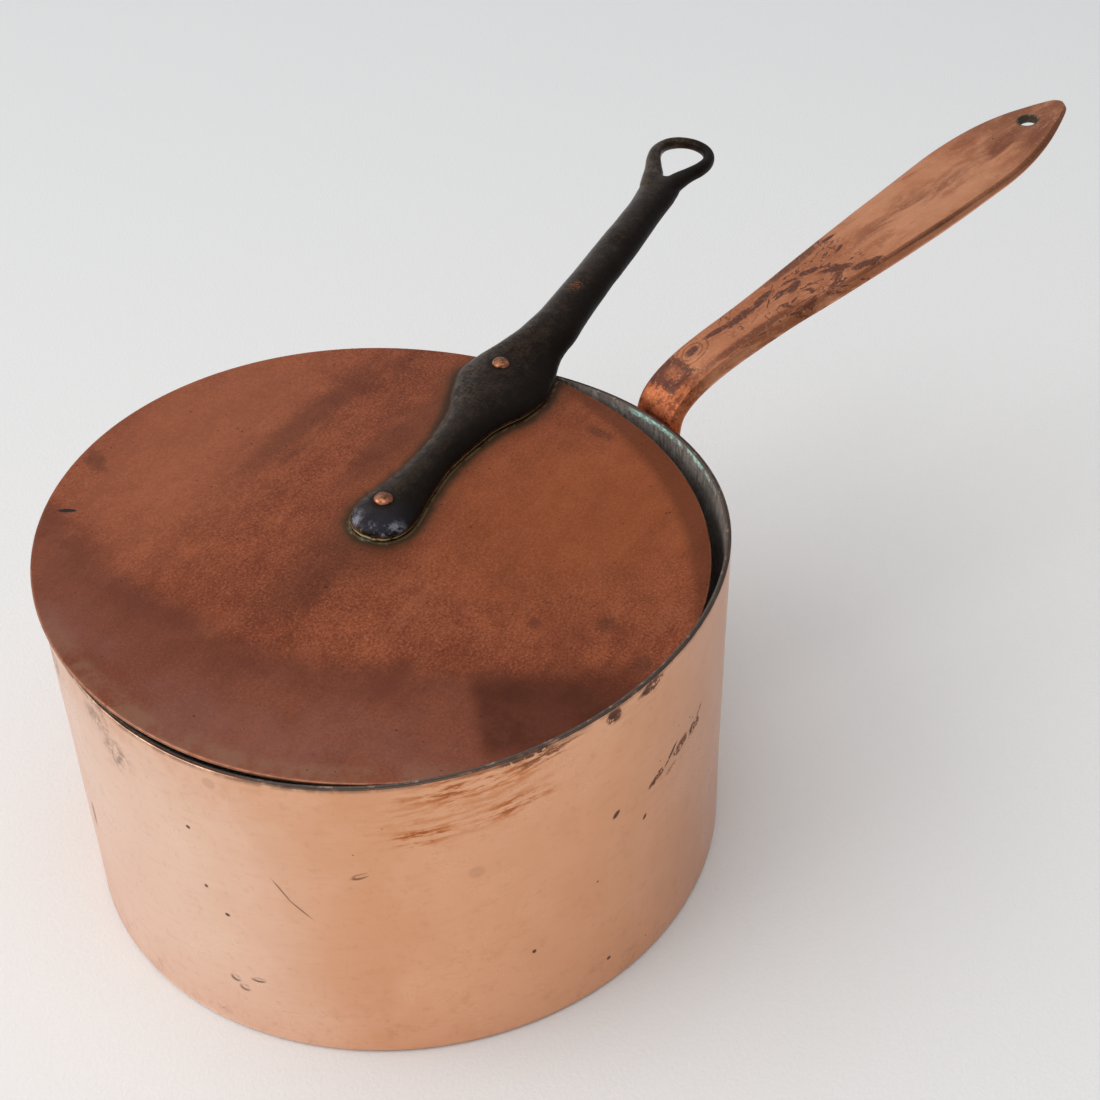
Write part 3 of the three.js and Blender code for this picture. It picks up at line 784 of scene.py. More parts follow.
def handle_copper():
    """Worn copper bar: tarnish swirls, a dark patch on the bend, a dark line on one arris."""
    p = Paint("worn_copper")
    plan = p.vector(p.x, p.y)
    across = p.attribute("across")
    down = p.attribute("down")
    grain = p.noise(5, 4, 0.72)
    fine = p.noise(1.4, 4, 0.7)
    clouds = p.noise(30, 4, 0.6, stretch=(2.6, 1, 1))
    streak = p.noise(7, 4, 0.65, stretch=(6, 1, 1), warp=0.4)
    p.colour = p.mix(p.step(clouds, 0.35, 0.65), (0.77, 0.350, 0.192), (0.58, 0.22, 0.110))
    p.coat(p.step(streak, 0.46, 0.64), (0.36, 0.118, 0.054), 0.5)
    tip = p.times(p.step(p.x, 288, 340), p.step(streak, 0.30, 0.52), 0.85)
    p.coat(tip, (0.33, 0.12, 0.062))
    middle = p.times(p.step(p.x, 146, 158), p.step(p.x, 250, 222))
    p.coat(middle, (0.60, 0.24, 0.125), 0.35)
    neck = p.step(p.scaled(grain, 10.0, p.x), 156, 143)
    p.coat(neck, (0.41, 0.112, 0.040), 0.85)
    neck_dark = p.times(p.step(p.x, 152, 138), p.patches(4.5, 5, 0.75, 0.45, 0.60))
    p.coat(neck_dark, (0.16, 0.042, 0.022), 0.85)

    zone = p.times(p.step(p.x, 160, 178), p.step(p.x, 240, 228))
    tinted = p.times(zone, p.step(p.noise(9, 4, 0.7, stretch=(2, 1, 1)), 0.42, 0.60), 0.45)
    p.coat(tinted, (0.43, 0.145, 0.066))
    swirl = p.noise(13, 3, 0.6, stretch=(1.9, 1, 1), warp=1.6)
    veins = p.step(p.math("ABSOLUTE", p.add(swirl, -0.5)), 0.030, 0.010)
    blobs = p.step(p.noise(10, 4, 0.68, stretch=(2.4, 1, 1), warp=0.8), 0.565, 0.60)
    marks = p.times(p.top(p.times(veins, p.step(grain, 0.46, 0.54)), blobs), zone)
    strokes = p.blots(plan, HANDLE_STROKES, grain)
    patch_place = p.mapped(plan, (141.5, 3.4, 0), size=(6.0, 7.2, 1))
    edge = p.node("ShaderNodeVectorMath", patch_place, operation="ABSOLUTE")
    sides = p.node("ShaderNodeSeparateXYZ", edge.outputs[0])
    square = p.math("MAXIMUM", sides.outputs[0], sides.outputs[1])
    square = p.step(p.scaled(p.add(grain, -0.5), 1.1, square), 1.12, 0.88)
    core = p.blot(plan, (141.5, 3), (3.0, 3.6), 0, 1.5, grain, 0.6)
    patch = p.math("SUBTRACT", square, p.times(core, 0.75), clamp=True)
    dark = p.top(marks, strokes, p.times(patch, 0.95))
    p.coat(dark, (0.125, 0.055, 0.045), 0.88)

    ring_at = p.mapped(plan, (152.5, 5, 0), (0, 0, math.radians(10)), (1.5, 1, 1))
    ring_far = p.length(ring_at)
    waves_in = p.math("SINE", p.scaled(grain, 5.0, p.times(ring_far, 3.4)))
    rings = p.times(p.step(waves_in, 0.1, 0.8), p.step(ring_far, 7.5, 5.0), p.step(ring_far, 1.4, 2.2))
    eye = p.times(p.step(p.scaled(grain, -3.0, ring_far), 1.2, -0.2), 0.9)
    rings = p.times(rings, p.step(grain, 0.40, 0.54))
    p.coat(rings, (0.22, 0.075, 0.04), 0.6)
    p.coat(eye, (0.13, 0.055, 0.045))

    smudge = p.blots(plan, HANDLE_SMUDGES, grain)
    p.coat(p.times(smudge, p.step(streak, 0.36, 0.56)), (0.24, 0.075, 0.045), 0.8)
    arris = p.times(p.step(across, -0.84, -0.95), p.step(down, 1.9, 1.1), p.step(p.x, 142, 158))
    arris = p.times(arris, p.step(p.scaled(grain, 0.5, p.times(streak, 0.5)), 0.36, 0.46))
    p.coat(arris, (0.105, 0.034, 0.020), 0.86)
    left = p.times(p.step(across, 0.90, 0.98), p.step(streak, 0.42, 0.58))
    p.coat(left, (0.40, 0.17, 0.10), 0.5)
    below = p.times(p.step(p.y, -2, -9), p.step(p.x, 144, 160), p.step(p.x, 255, 205))
    stain = p.times(below, p.step(p.noise(8, 5, 0.72, stretch=(3.5, 1, 1)), 0.42, 0.54))
    p.coat(stain, (0.22, 0.072, 0.034), 0.6)
    hole = p.blot(plan, HANG_HOLE, (4.8, 4.8), 0, 0.3, grain, 0.12)
    p.coat(hole, (0.040, 0.045, 0.028), 0.93)
    specks = p.top(p.specks(8, 0.6, 0.35), p.times(p.specks(3.4, 0.5, 0.3), p.step(p.x, 175, 140)))
    p.coat(specks, (0.10, 0.045, 0.03), 0.8)
    p.coat(p.step(fine, 0.54, 0.68), (0.95, 0.52, 0.32), 0.25)

    rough = p.add(0.30, p.times(clouds, 0.10), p.times(fine, 0.10), p.times(p.top(dark, stain, hole), 0.25))
    brushed = p.noise(1.0, 3, 0.6, stretch=(16, 1, 1))
    height = p.add(
        p.times(p.noise(11, 3, 0.55), 1.5),
        p.times(fine, 0.16),
        p.times(brushed, 0.14),
        p.times(dark, -0.3),
        p.times(p.top(specks, eye), -0.4),
    )
    return p.finish(p.scaled(hole, -0.6, 1.0), rough, height, 0.24)


def lid_copper(frame):
    """Brown patina: smears beside the handle, grain, pits and a ring of residue. The darker front, the
    lighter back and a dark patch at the front right are painted reflection; the handle's shadow, the rim's
    shadow and shade round the handle's foot are painted too.
    """
    p = Paint("patina_copper", frame)
    plan = p.vector(p.x, p.y)
    grain = p.noise(8, 4, 0.65)
    broad = p.noise(45, 4, 0.6)
    clouds = p.noise(70, 4, 0.6, warp=0.6)
    mottle = p.noise(17, 5, 0.68)
    fine = p.noise(1.0, 4, 0.75)
    dust = p.noise(0.8, 2, 0.8)
    radius = p.length(plan)
    p.colour = p.mix(p.step(clouds, 0.34, 0.66), (0.415, 0.110, 0.046), (0.315, 0.080, 0.034))
    p.coat(p.step(mottle, 0.40, 0.66), (0.205, 0.047, 0.021), 0.6)
    p.coat(p.step(fine, 0.50, 0.66), (0.60, 0.245, 0.135), 0.38)
    p.coat(p.step(fine, 0.50, 0.36), (0.14, 0.034, 0.018), 0.62)
    p.coat(p.step(dust, 0.60, 0.74), (0.66, 0.32, 0.20), 0.35)
    drawn = p.noise(15, 5, 0.72, stretch=(4.0, 1, 1), warp=0.5)
    p.coat(p.step(drawn, 0.50, 0.66), (0.17, 0.042, 0.021), 0.42)
    p.coat(p.step(drawn, 0.48, 0.34), (0.50, 0.165, 0.080), 0.26)
    warm = p.blot(plan, (55, -62), (62, 46), -30, 0.8, broad, 0.7)
    p.coat(warm, (0.47, 0.130, 0.042), 0.5)
    # Painted sheen: the back of the lid is lighter.
    back = p.blot(plan, (20, 90), (75, 34), 0, 0.8, broad, 0.7)
    p.coat(back, (0.52, 0.17, 0.085), 0.5)

    # Painted reflection: the front of the lid is darker, with a darker edge to it and a lighter sheen
    # beyond.
    sideways = p.math("ABSOLUTE", p.add(p.y, -18.0))
    bend = p.scaled(sideways, 0.30, p.scaled(broad, 34.0, -92.0))
    front = p.math("SUBTRACT", p.x, bend)
    p.coat(p.step(front, 7, -7), (0.215, 0.070, 0.044), 0.62)
    line = p.times(p.step(front, 11, 0), p.step(front, -22, -4))
    p.coat(p.times(line, p.step(mottle, 0.3, 0.6)), (0.17, 0.045, 0.025), 0.45)
    sheen = p.times(p.step(front, -12, -40), p.step(broad, 0.38, 0.62))
    p.coat(sheen, (0.36, 0.165, 0.135), 0.30)

    # Painted reflection: a dark patch at the front right of the lid, with a sharp left edge.
    dark_reflection_place = p.mapped(plan, (-64, -77, 0), (0, 0, math.radians(-56.7)))
    inward, beside, _ = p.node("ShaderNodeSeparateXYZ", dark_reflection_place).outputs
    painted_dark_reflection = p.times(
        p.step(p.scaled(grain, 5.0, inward), -5.0, 2.0),
        p.step(inward, 84, 40),
        p.step(p.scaled(grain, 8.0, p.math("ABSOLUTE", beside)), 31, 14),
    )
    painted_dark_reflection = p.times(painted_dark_reflection, p.scaled(p.step(mottle, 0.62, 0.38), 0.3, 0.62))
    p.coat(painted_dark_reflection, (0.105, 0.028, 0.015))

    fan = p.noise(9, 4, 0.6, stretch=(5, 1, 1))
    smear = p.top(
        p.blots(plan, LID_SMEARS, grain),
        p.times(p.blot(plan, (56, 42), (52, 34), -4, 0.5, grain, 0.4), p.step(fan, 0.50, 0.66), 0.7),
    )
    p.coat(smear, (0.15, 0.044, 0.025), 0.56)
    # Painted shadow of the iron handle on the lid.
    painted_handle_shadow = p.blots(plan, LID_HANDLE_SHADOW, grain)
    p.coat(painted_handle_shadow, (0.095, 0.032, 0.020), 0.55)
    # Painted shadow of the pan's rim: a dark band along the lid's right edge.
    shaded = p.length(p.mapped(plan, (-35.4, 35.4, 0)))
    painted_rim_shadow = p.times(p.step(shaded, 158.5, 164), p.step(p.x, -10, 25))
    p.coat(painted_rim_shadow, (0.16, 0.046, 0.020), 0.62)
    strip = p.times(p.step(radius, 112, 117), p.step(p.x, -80, -104), p.step(mottle, 0.38, 0.58))
    p.coat(strip, (0.36, 0.185, 0.115), 0.5)

    gap = p.attribute("handle_gap")
    halo = p.step(p.scaled(grain, -5.0, gap), 2.2, -1.6)
    # Painted shade: the lid darkens towards the iron handle's foot, from 10 mm away.
    p.coat(p.step(gap, 10.0, 0.5), (0.13, 0.052, 0.024), 0.55)
    p.coat(halo, (0.052, 0.027, 0.011), 0.9)
    crust = p.times(p.step(gap, 0.9, 0.3), p.patches(14, 4, 0.7, 0.40, 0.50))
    crust = p.times(crust, p.top(p.step(p.x, 12, 6), p.step(p.y, -4, -8)))
    p.coat(crust, (0.36, 0.25, 0.12), 0.35)
    green = p.times(p.step(gap, 1.6, 0.8), p.step(p.x, 4, -2), p.patches(4, 4, 0.7, 0.48, 0.58))
    p.coat(green, (0.22, 0.34, 0.25), 0.55)

    pits = p.top(
        p.specks(6, 0.55, 0.40),
        p.times(p.specks(3, 0.42, 0.30), p.patches(30, 3, 0.6, 0.40, 0.58)),
        p.specks(19, 0.95, 0.30),
    )
    nick = p.blot(plan, (-41.3, 105.4), (3.6, 1.1), -62, 0.4, grain, 0.25)
    spots = p.blots(plan, LID_SPOTS, grain)
    p.coat(spots, (0.10, 0.036, 0.024), 0.45)
    p.coat(pits, (0.075, 0.028, 0.018), 0.75)
    p.coat(nick, (0.022, 0.018, 0.016))
    worn = p.times(p.step(radius, LID_RADIUS - 0.9, LID_RADIUS - 0.1), p.step(grain, 0.35, 0.6))
    p.coat(worn, (0.60, 0.27, 0.15), 0.5)

    metal = p.scaled(p.top(halo, nick), -0.25, 0.92)
    rough = p.add(0.33, p.times(mottle, 0.12), p.times(fine, 0.12), p.times(halo, 0.15))
    height = p.add(
        p.times(fine, 0.55),
        p.times(dust, 0.15),
        p.times(p.noise(4, 4, 0.6), 0.15),
        p.times(p.noise(46, 2, 0.5), 1.6),
        p.times(pits, -0.6),
        p.times(nick, -2.0),
        p.times(crust, 0.8),
    )
    return p.finish(metal, rough, height, 0.11)


def black_iron(frame):
    """Forged iron, nearly black, satin where hands wear it, rusty above its foot; a painted sheen lightens
    its left side, painted shade darkens its right side and painted glints sit on the pad's front.
    """
    p = Paint("forged_iron", frame)
    plan = p.vector(p.x, p.y)
    fine = p.noise(1.1, 5, 0.75)
    grain = p.noise(4.5, 5, 0.72)
    clouds = p.noise(22, 4, 0.65)
    p.colour = p.mix(p.step(clouds, 0.35, 0.65), (0.010, 0.005, 0.003), (0.020, 0.012, 0.007))
    side = p.attribute("side")
    ragged_side = p.scaled(p.add(grain, -0.5), 0.9, side)
    worn = p.add(p.times(fine, 0.6), p.times(grain, 0.4))
    p.coat(p.step(worn, 0.45, 0.59), (0.052, 0.030, 0.018), 0.6)
    # Painted sheen: lighter iron on the left side of the handle, broken up by the grain.
    painted_left_sheen = p.times(p.step(ragged_side, 0.2, 1.0), p.step(worn, 0.40, 0.60))
    p.coat(painted_left_sheen, (0.108, 0.078, 0.056), 0.85)
    # Painted shade: near-black iron on the right side of the handle, which is also rougher there.
    painted_right_shade = p.step(ragged_side, 0.15, -0.65)
    p.coat(painted_right_shade, (0.005, 0.0028, 0.0018), 0.85)
    blue = p.times(p.step(p.scaled(grain, 14.0, p.x), 24, 6), p.step(p.z, 2.2, 4.6))
    p.coat(blue, (0.030, 0.029, 0.041), 0.6)
    foot = p.times(p.step(p.x, 128, 112), p.step(p.z, 3.2, 1.2))
    rust = p.times(foot, p.step(p.scaled(grain, 0.7, p.times(fine, 0.4)), 0.44, 0.60))
    p.coat(rust, (0.20, 0.080, 0.028), 0.85)
    line = p.times(p.step(p.z, 1.9, 1.4), p.step(p.x, 124, 112), p.patches(6, 4, 0.7, 0.34, 0.44))
    line = p.times(line, p.top(p.step(p.x, 9, 5), p.step(side, -0.4, -0.8)))
    p.coat(line, (0.56, 0.48, 0.25), 0.9)
    spot = p.times(p.blot(plan, (166, -3.5), (3.4, 2.8), 0, 0.8, grain, 0.5), p.step(fine, 0.49, 0.56))
    p.coat(spot, (0.30, 0.095, 0.03), 0.8)
    seats = p.blots(plan, [(x, y, 5.4, 5.4, 0, 0.5, 0.18, 1) for x, y, _ in LID_RIVETS.values()], grain)
    p.coat(seats, (0.012, 0.008, 0.006), 0.85)
    # Painted highlights: pale glints on the front of the pad.
    front = p.times(p.step(p.x, 7, 1), p.step(p.z, 6.0, 4.4), p.step(p.z, 2.2, 3.4))
    glint_noise = p.scaled(fine, 0.35, p.times(p.noise(5, 3, 0.6), 0.65))
    glints = p.times(front, p.step(glint_noise, 0.47, 0.60))
    p.coat(glints, (0.30, 0.305, 0.35), 0.7)
    pits = p.top(p.specks(2.6, 0.55, 0.30), p.step(grain, 0.36, 0.28))
    metal = p.scaled(p.top(rust, line, seats), -0.4, 0.45)
    rough = p.add(0.20, p.times(clouds, 0.08), p.times(worn, 0.16), p.times(p.top(rust, line, seats), 0.3))
    rough = p.scaled(painted_right_shade, 0.16, rough)
    rough = p.scaled(glints, -0.10, rough)
    height = p.add(
        p.times(p.noise(16, 2, 0.5), 2.0),
        p.times(grain, 0.7),
        p.times(fine, 0.40),
        p.times(pits, -0.5),
    )
    return p.finish(metal, rough, height, 0.20, Specular_IOR_Level=0.12)


def rivet_copper(name, colour_low, colour_high):
    """Hammered copper, brown in the hollows."""
    p = Paint(name)
    grain = p.noise(3, 4, 0.7)
    p.colour = p.mix(p.step(grain, 0.38, 0.62), colour_low, colour_high)
    rough = p.scaled(grain, 0.2, 0.17)
    height = p.add(p.times(p.noise(2.6, 2, 0.5), 1.2), p.times(p.noise(0.6, 3, 0.6), 0.12))
    return p.finish(1.0, rough, height, 0.22)


def floor_paper():
    """Pale studio floor with painted light: lighter and a little warmer near the front."""
    p = Paint("pale_floor")
    # Painted light: the floor is lighter and a little warmer towards the front.
    near = p.step(p.scaled(p.y, 1.0, p.times(p.x, 0.5)), 900, -300)
    p.colour = p.mix(near, (0.80, 0.80, 0.80), (0.86, 0.845, 0.835))
    grain = p.noise(1.6, 4, 0.6)
    return p.finish(0.0, 0.9, grain, 0.25)


# ---------------------------------------------------------------- pieces of the pan


def add_piece(obj, body, node):
    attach(obj, body)
    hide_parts(node)


def pan_wall(material):
    angle = np.linspace(0, 2 * np.pi, WALL_STEPS, endpoint=False)
    top = rim_height(angle)
    foot = BASE_THICKNESS

    def outer(z):
        place = np.stack([BODY_RADIUS * np.cos(angle), BODY_RADIUS * np.sin(angle), z + 0 * angle], 1)
        fade = soft_step(z, 2, 30) * soft_step(top - z, 0, 14)
        return wall_radius(angle, z) - WALL_UNEVEN * fade + fade * ripple(place, WALL_UNEVEN, 70, 4)

    heights = [foot + (top - 0.5 - foot) * t for t in np.linspace(0, 1, 56)]
    profile = [(outer(z), z) for z in heights]
    rim = wall_radius(angle, top)
    turn = np.linspace(0.2, np.pi / 2, 5)
    profile += [
        (rim - RIM_ROUNDING * (1 - math.cos(t)), top - RIM_ROUNDING * (1 - math.sin(t))) for t in turn
    ]
    profile += [
        (rim - LIP_START + 0.1, top),
        (rim - LIP_START + 0.05, top - 0.4),
        (rim - WALL_DEPTH + TIN_DEPTH, top - 0.45),
        (wall_radius(angle, foot) - WALL_DEPTH + TIN_DEPTH, foot),
    ]
    points, faces = turned(profile, WALL_STEPS)
    return mesh_object("saucepan_wall", points, faces, material, sharp=50)


def pan_base(material):
    edge = BASE_THICKNESS
    turn = np.linspace(0, np.pi / 2, 9)
    rim = [(BODY_RADIUS - edge + edge * math.sin(t), edge - edge * math.cos(t)) for t in turn]
    flat = [(r, 0.0) for r in np.linspace(0, BODY_RADIUS - edge, 14)[:-1]]
    points, faces = turned([*flat, *rim, (0.0, edge - 0.02)], WALL_STEPS)
    return mesh_object("saucepan_base", points, faces, material, sharp=50)


def pan_lining(material):
    """The tin coat: floor, wall, and a lip over the inner part of the rim."""
    angle = np.linspace(0, 2 * np.pi, WALL_STEPS, endpoint=False)
    top = rim_height(angle)
    back = 0.02
    floor = BASE_THICKNESS + back
    corner = 4.0

    def inner(z):
        return wall_radius(angle, z) - WALL_DEPTH

    turn = np.linspace(0, np.pi / 2, 8)
    curve = [
        (inner(floor) - corner + corner * math.sin(t), floor + TIN_DEPTH + corner * (1 - math.cos(t)))
        for t in turn
    ]
    reach = top - RIM_ROUNDING - floor
    sides = [(inner(z), z) for z in (floor + reach * t for t in np.linspace(0.08, 1, 24))]
    over = [
        (inner(top) + RIM_ROUNDING * (1 - math.cos(t)), top - RIM_ROUNDING * (1 - math.sin(t)))
        for t in np.linspace(0.25, np.pi / 2, 5)
    ]
    rim = wall_radius(angle, top)
    outside = [(rim - LIP_START - 0.08, top), (rim - LIP_START, top - 0.06)]
    behind = [
        (rim - LIP_START, top - 0.38),
        (rim - WALL_DEPTH + TIN_DEPTH - back, top - 0.42),
        (inner(floor) + TIN_DEPTH - back, floor),
        (0.0, floor),
    ]
    middle = [(r * (inner(floor) - corner), floor + TIN_DEPTH) for r in np.linspace(0, 1, 12)[:-1]]
    points, faces = turned([*middle, *curve, *sides, *over, *outside, *behind], WALL_STEPS)
    return mesh_object("saucepan_tin_lining", points, faces, material, sharp=60)


def handle_path():
    plate = [(wall_radius(0.0, z) + PLATE_GAP, z) for z in PLATE_HEIGHTS]
    return even_spline([*plate, *HANDLE_RUN], HANDLE_STEPS)


def bar_section(half_width, thickness):
    """Rounded bar section as (sideways, down from the upper face), both faces."""
    corner = min(0.42 * thickness, 0.7 * half_width)
    turn = np.linspace(0, np.pi / 2, 7)
    flat = half_width - corner
    upper = [(y, 0.0) for y in np.linspace(-flat, flat, 11)]
    right = [(flat + corner * math.sin(t), corner * (1 - math.cos(t))) for t in turn[1:]]
    half = upper + right
    lower = [(-y, thickness - d) for y, d in half]
    return half + lower


def pan_handle(material):
    place, along = handle_path()
    shape = spline(HANDLE_SHAPE, np.linspace(0, 1, 2000))
    stops = np.linspace(0, shape[-1, 0], HANDLE_STEPS)
    half = np.interp(stops, shape[:, 0], shape[:, 1])
    thick = np.interp(stops, shape[:, 0], shape[:, 2])
    rows = []
    for (x, z), (ax, az), w, t in zip(place, along, half, thick):
        wrap = 1 - soft_step(z, NECK_START, PLATE_HEIGHTS[-1] + 4)
        row = []
        for y, down in bar_section(w, t):
            turn = math.asin(np.clip(y / BODY_RADIUS, -1, 1))
            setback = wall_radius(0.0, z) - math.sqrt(wall_radius(turn, z) ** 2 - y * y)
            aside = y + TIP_SHIFT * soft_step(x, *TIP_SHIFT_FROM)
            row.append((x - wrap * setback + az * down, aside, z - ax * down))
        rows.append(row)
    count = len(rows[0])
    points = np.array(rows).reshape(-1, 3)
    points[:, 2] += ripple(points, 0.12, 34, 8) * soft_step(points[:, 0], 134, 150)
    faces = grid_faces(len(rows), count)
    for end in (0, len(rows) - 1):
        ring = [end * count + j for j in range(count)]
        middle = len(points)
        points = np.vstack([points, points[ring].mean(0)])
        faces += [(middle, ring[j], ring[(j + 1) % count]) for j in range(count)]
    obj = mesh_object("saucepan_handle", points, faces, material, sharp=60)
    drill_hole(obj, place, along)
    store_across(obj, place, along, half)
    return obj


def store_across(obj, place, along, half):
    """Keeps how far each point is across the bar (-1 right, 1 left), and how far below its face."""
    points = vertex_vectors(obj.data, "co") / MM
    outer = place[:, 1] > PLATE_HEIGHTS[-1]
    width = np.interp(points[:, 0], place[outer, 0], half[outer])
    store_values(obj.data, "across", points[:, 1] / np.maximum(width, 0.5))
    face = np.interp(points[:, 0], place[outer, 0], place[outer, 1])
    slope = np.interp(points[:, 0], place[outer, 0], along[outer, 0])
    store_values(obj.data, "down", (face - points[:, 2]) * slope)


def drill_hole(obj, place, along):
    """The hanging hole, with a slightly worn edge."""
    x, y = HANG_HOLE
    z = np.interp(x, place[:, 0], place[:, 1])
    ax, az = along[np.argmin(abs(place[:, 0] - x))]
    inner, outer = HANG_HOLE_RADIUS, HANG_HOLE_RADIUS + HOLE_WEAR
    profile = ((0.0, -9.0), (inner, -9.0), (inner, -0.35), (outer, 0.15), (outer, 9.0), (0.0, 9.0))
    points, faces = turned(profile, HOLE_STEPS)
    tilt = Matrix(((ax, 0, -az, x), (0, 1, 0, y), (az, 0, ax, z), (0, 0, 0, 1)))
    cutter = mesh_object("hole_cutter", points, faces, obj.data.materials[0], tilt)
    add_modifier(obj, "hole", "BOOLEAN", object=cutter, operation="DIFFERENCE", solver="EXACT")
    apply_modifiers(obj)
    bpy.data.objects.remove(cutter, do_unlink=True)
    shade(obj, 32)


def rivet(name, material, matrix, form, upper, lower, seed):
    """Low hammered dome, shank and clenched tail, along local Z."""
    head, dome, shank, tail = form
    turn = np.linspace(0, np.pi / 2, 12)
    cap = [(head * math.sin(t) ** 0.9, upper + dome * math.cos(t) ** 0.8) for t in turn]
    foot = [(head * 0.985, upper - 0.25), (shank, upper - 0.3), (shank, lower)]
    clench = ((1, 0), (0.98, 0.5), (0.8, 1.1), (0.4, 1.3), (0, 1.35))
    end = [(tail * share, lower - drop) for share, drop in clench]
    points, faces = turned([*cap, *foot, *end], RIVET_STEPS)
    high = points[:, 2] > upper + 0.1
    points[high, 2] -= 0.12 + ripple(points[high], 0.12, 4.5, seed)
    return mesh_object(name, points, faces, material, matrix, sharp=50)


def wall_frame(angle, z):
    turn = math.radians(angle)
    outward = Vector((math.cos(turn), math.sin(turn), 0))
    up = Vector((0, 0, 1))
    side = outward.cross(up)
    place = outward * float(wall_radius(turn, z))
    matrix = Matrix((up, side, outward)).transposed().to_4x4()
    matrix.translation = Vector((place.x, place.y, z))
    return matrix


def add_pan():
    copper, tin, bar = wall_copper(), lining_tin(), handle_copper()
    head = rivet_copper("rivet_copper", (0.62, 0.31, 0.18), (0.78, 0.44, 0.29))
    add_piece(pan_wall(copper), "pan", "pan_wall")
    add_piece(pan_base(copper), "pan", "pan_base")
    add_piece(pan_lining(tin), "pan", "pan_tinning")
    add_piece(pan_handle(bar), "pan", "pan_handle")
    for seed, (side, (angle, z)) in enumerate(PAN_RIVETS.items()):
        upper = PLATE_GAP + PLATE_THICKNESS - 0.1
        name = f"saucepan_rivet_{side}"
        obj = rivet(name, head, wall_frame(angle, z), PAN_RIVET, upper, -WALL_DEPTH, seed)
        add_piece(obj, "pan", f"pan_handle_rivet_{side}")


# ---------------------------------------------------------------- pieces of the lid


def iron_rows():
    """Rows of [x, half width, shift, underside, top] along the iron stem."""
    shape = np.array(IRON_SHAPE, float)
    at = np.linspace(0, 1, IRON_STEPS)
    plan = spline(shape[:, (0, 1, 2)], at)
    side = spline(shape[:, (0, 3, 4)], at)
    return np.column_stack([plan, side[:, 1:]])


def handle_outline():
    """Outline of the iron handle's foot on the lid."""
    rows = [r for r in iron_rows() if r[0] < 124]
    left = [(x, shift + half) for x, half, shift, _, _ in rows]
    right = [(x, shift - half) for x, half, shift, _, _ in rows]
    return np.array(left + right[::-1])


def lid_sag(points):
    """Shallow unevenness of the lid sheet, always downwards and none under the handle."""
    along, side = points[:, 0], points[:, 1]
    beside = soft_step(abs(side), 14, 40)
    beside = np.maximum(beside, soft_step(-along, 2, 30))
    flat = np.column_stack([along, side, 0 * along])
    return -beside * (0.22 + ripple(flat, 0.2, 95, 21))


def lid_disc(material, frame):
    edge = 0.45
    turn = np.linspace(0, np.pi / 2, 5)
    rim = [(LID_RADIUS - edge + edge * math.sin(t), -edge * (1 - math.cos(t))) for t in turn]
    low = [(r, -LID_THICKNESS - z) for r, z in reversed(rim)]
    upper = [(r, 0.0) for r in np.linspace(0, LID_RADIUS - edge, 124)[:-1]]
    lower = [(r, -LID_THICKNESS) for r in np.linspace(LID_RADIUS - edge, 0, 20)[1:]]
    points, faces = turned([*upper, *rim, *low, *lower], LID_STEPS)
    points[:, 2] += lid_sag(points)
    obj = mesh_object("lid_sheet", points, faces, material, frame, sharp=50)
    back = frame.inverted()
    local = np.array([back @ (v.co / MM) for v in obj.data.vertices])
    store_gap(obj, local)
    return obj


def store_gap(obj, local):
    """Keeps each point's distance to the foot of the iron handle, in millimetres."""
    outline = handle_outline()
    away = np.full(len(local), 50.0)
    for a, b in zip(outline, np.roll(outline, -1, axis=0)):
        span = b - a
        t = np.clip(((local[:, :2] - a) @ span) / max(span @ span, 1e-9), 0, 1)
        away = np.minimum(away, np.linalg.norm(local[:, :2] - (a + t[:, None] * span), axis=1))
    store_values(obj.data, "handle_gap", away)


def lid_lining(material, frame):
    top = -LID_THICKNESS - 0.02
    thickness = LID_TIN_THICKNESS + 0.15
    radius = LID_RADIUS - 1.0
    outer = [(radius, top), (radius + 0.1, top - 0.15), (radius - 0.2, top - thickness)]
    upper = [(r, top) for r in np.linspace(0, radius, 16)[:-1]]
    lower = [(r, top - thickness) for r in np.linspace(radius - 0.2, 0, 16)[1:]]
    points, faces = turned([*upper, *outer, *lower], LID_STEPS)
    points[:, 2] += lid_sag(points)
    return mesh_object("lid_tin_lining", points, faces, material, frame, sharp=60)


def iron_section(x, half, shift, bottom, top):
    middle = bottom + IRON_SPLIT * (top - bottom)
    turn = (np.arange(IRON_SIDES) + 0.5) / IRON_SIDES * 2 * np.pi
    c, s = np.cos(turn), np.sin(turn)
    power = np.where(s > 0, 2 / IRON_FLATNESS[0], 2 / IRON_FLATNESS[1])
    reach = np.where(s > 0, top - middle, bottom - middle)
    y = shift + half * np.sign(c) * np.abs(c) ** power
    return np.column_stack([np.full(IRON_SIDES, x), y, middle + reach * np.abs(s) ** power])


def iron_stem():
    rows = [iron_section(*row) for row in iron_rows()]
    points = np.concatenate(rows)
    faces = grid_faces(len(rows), IRON_SIDES)
    for end in (0, len(rows) - 1):
        faces.append([end * IRON_SIDES + j for j in range(IRON_SIDES)])
    return points, faces


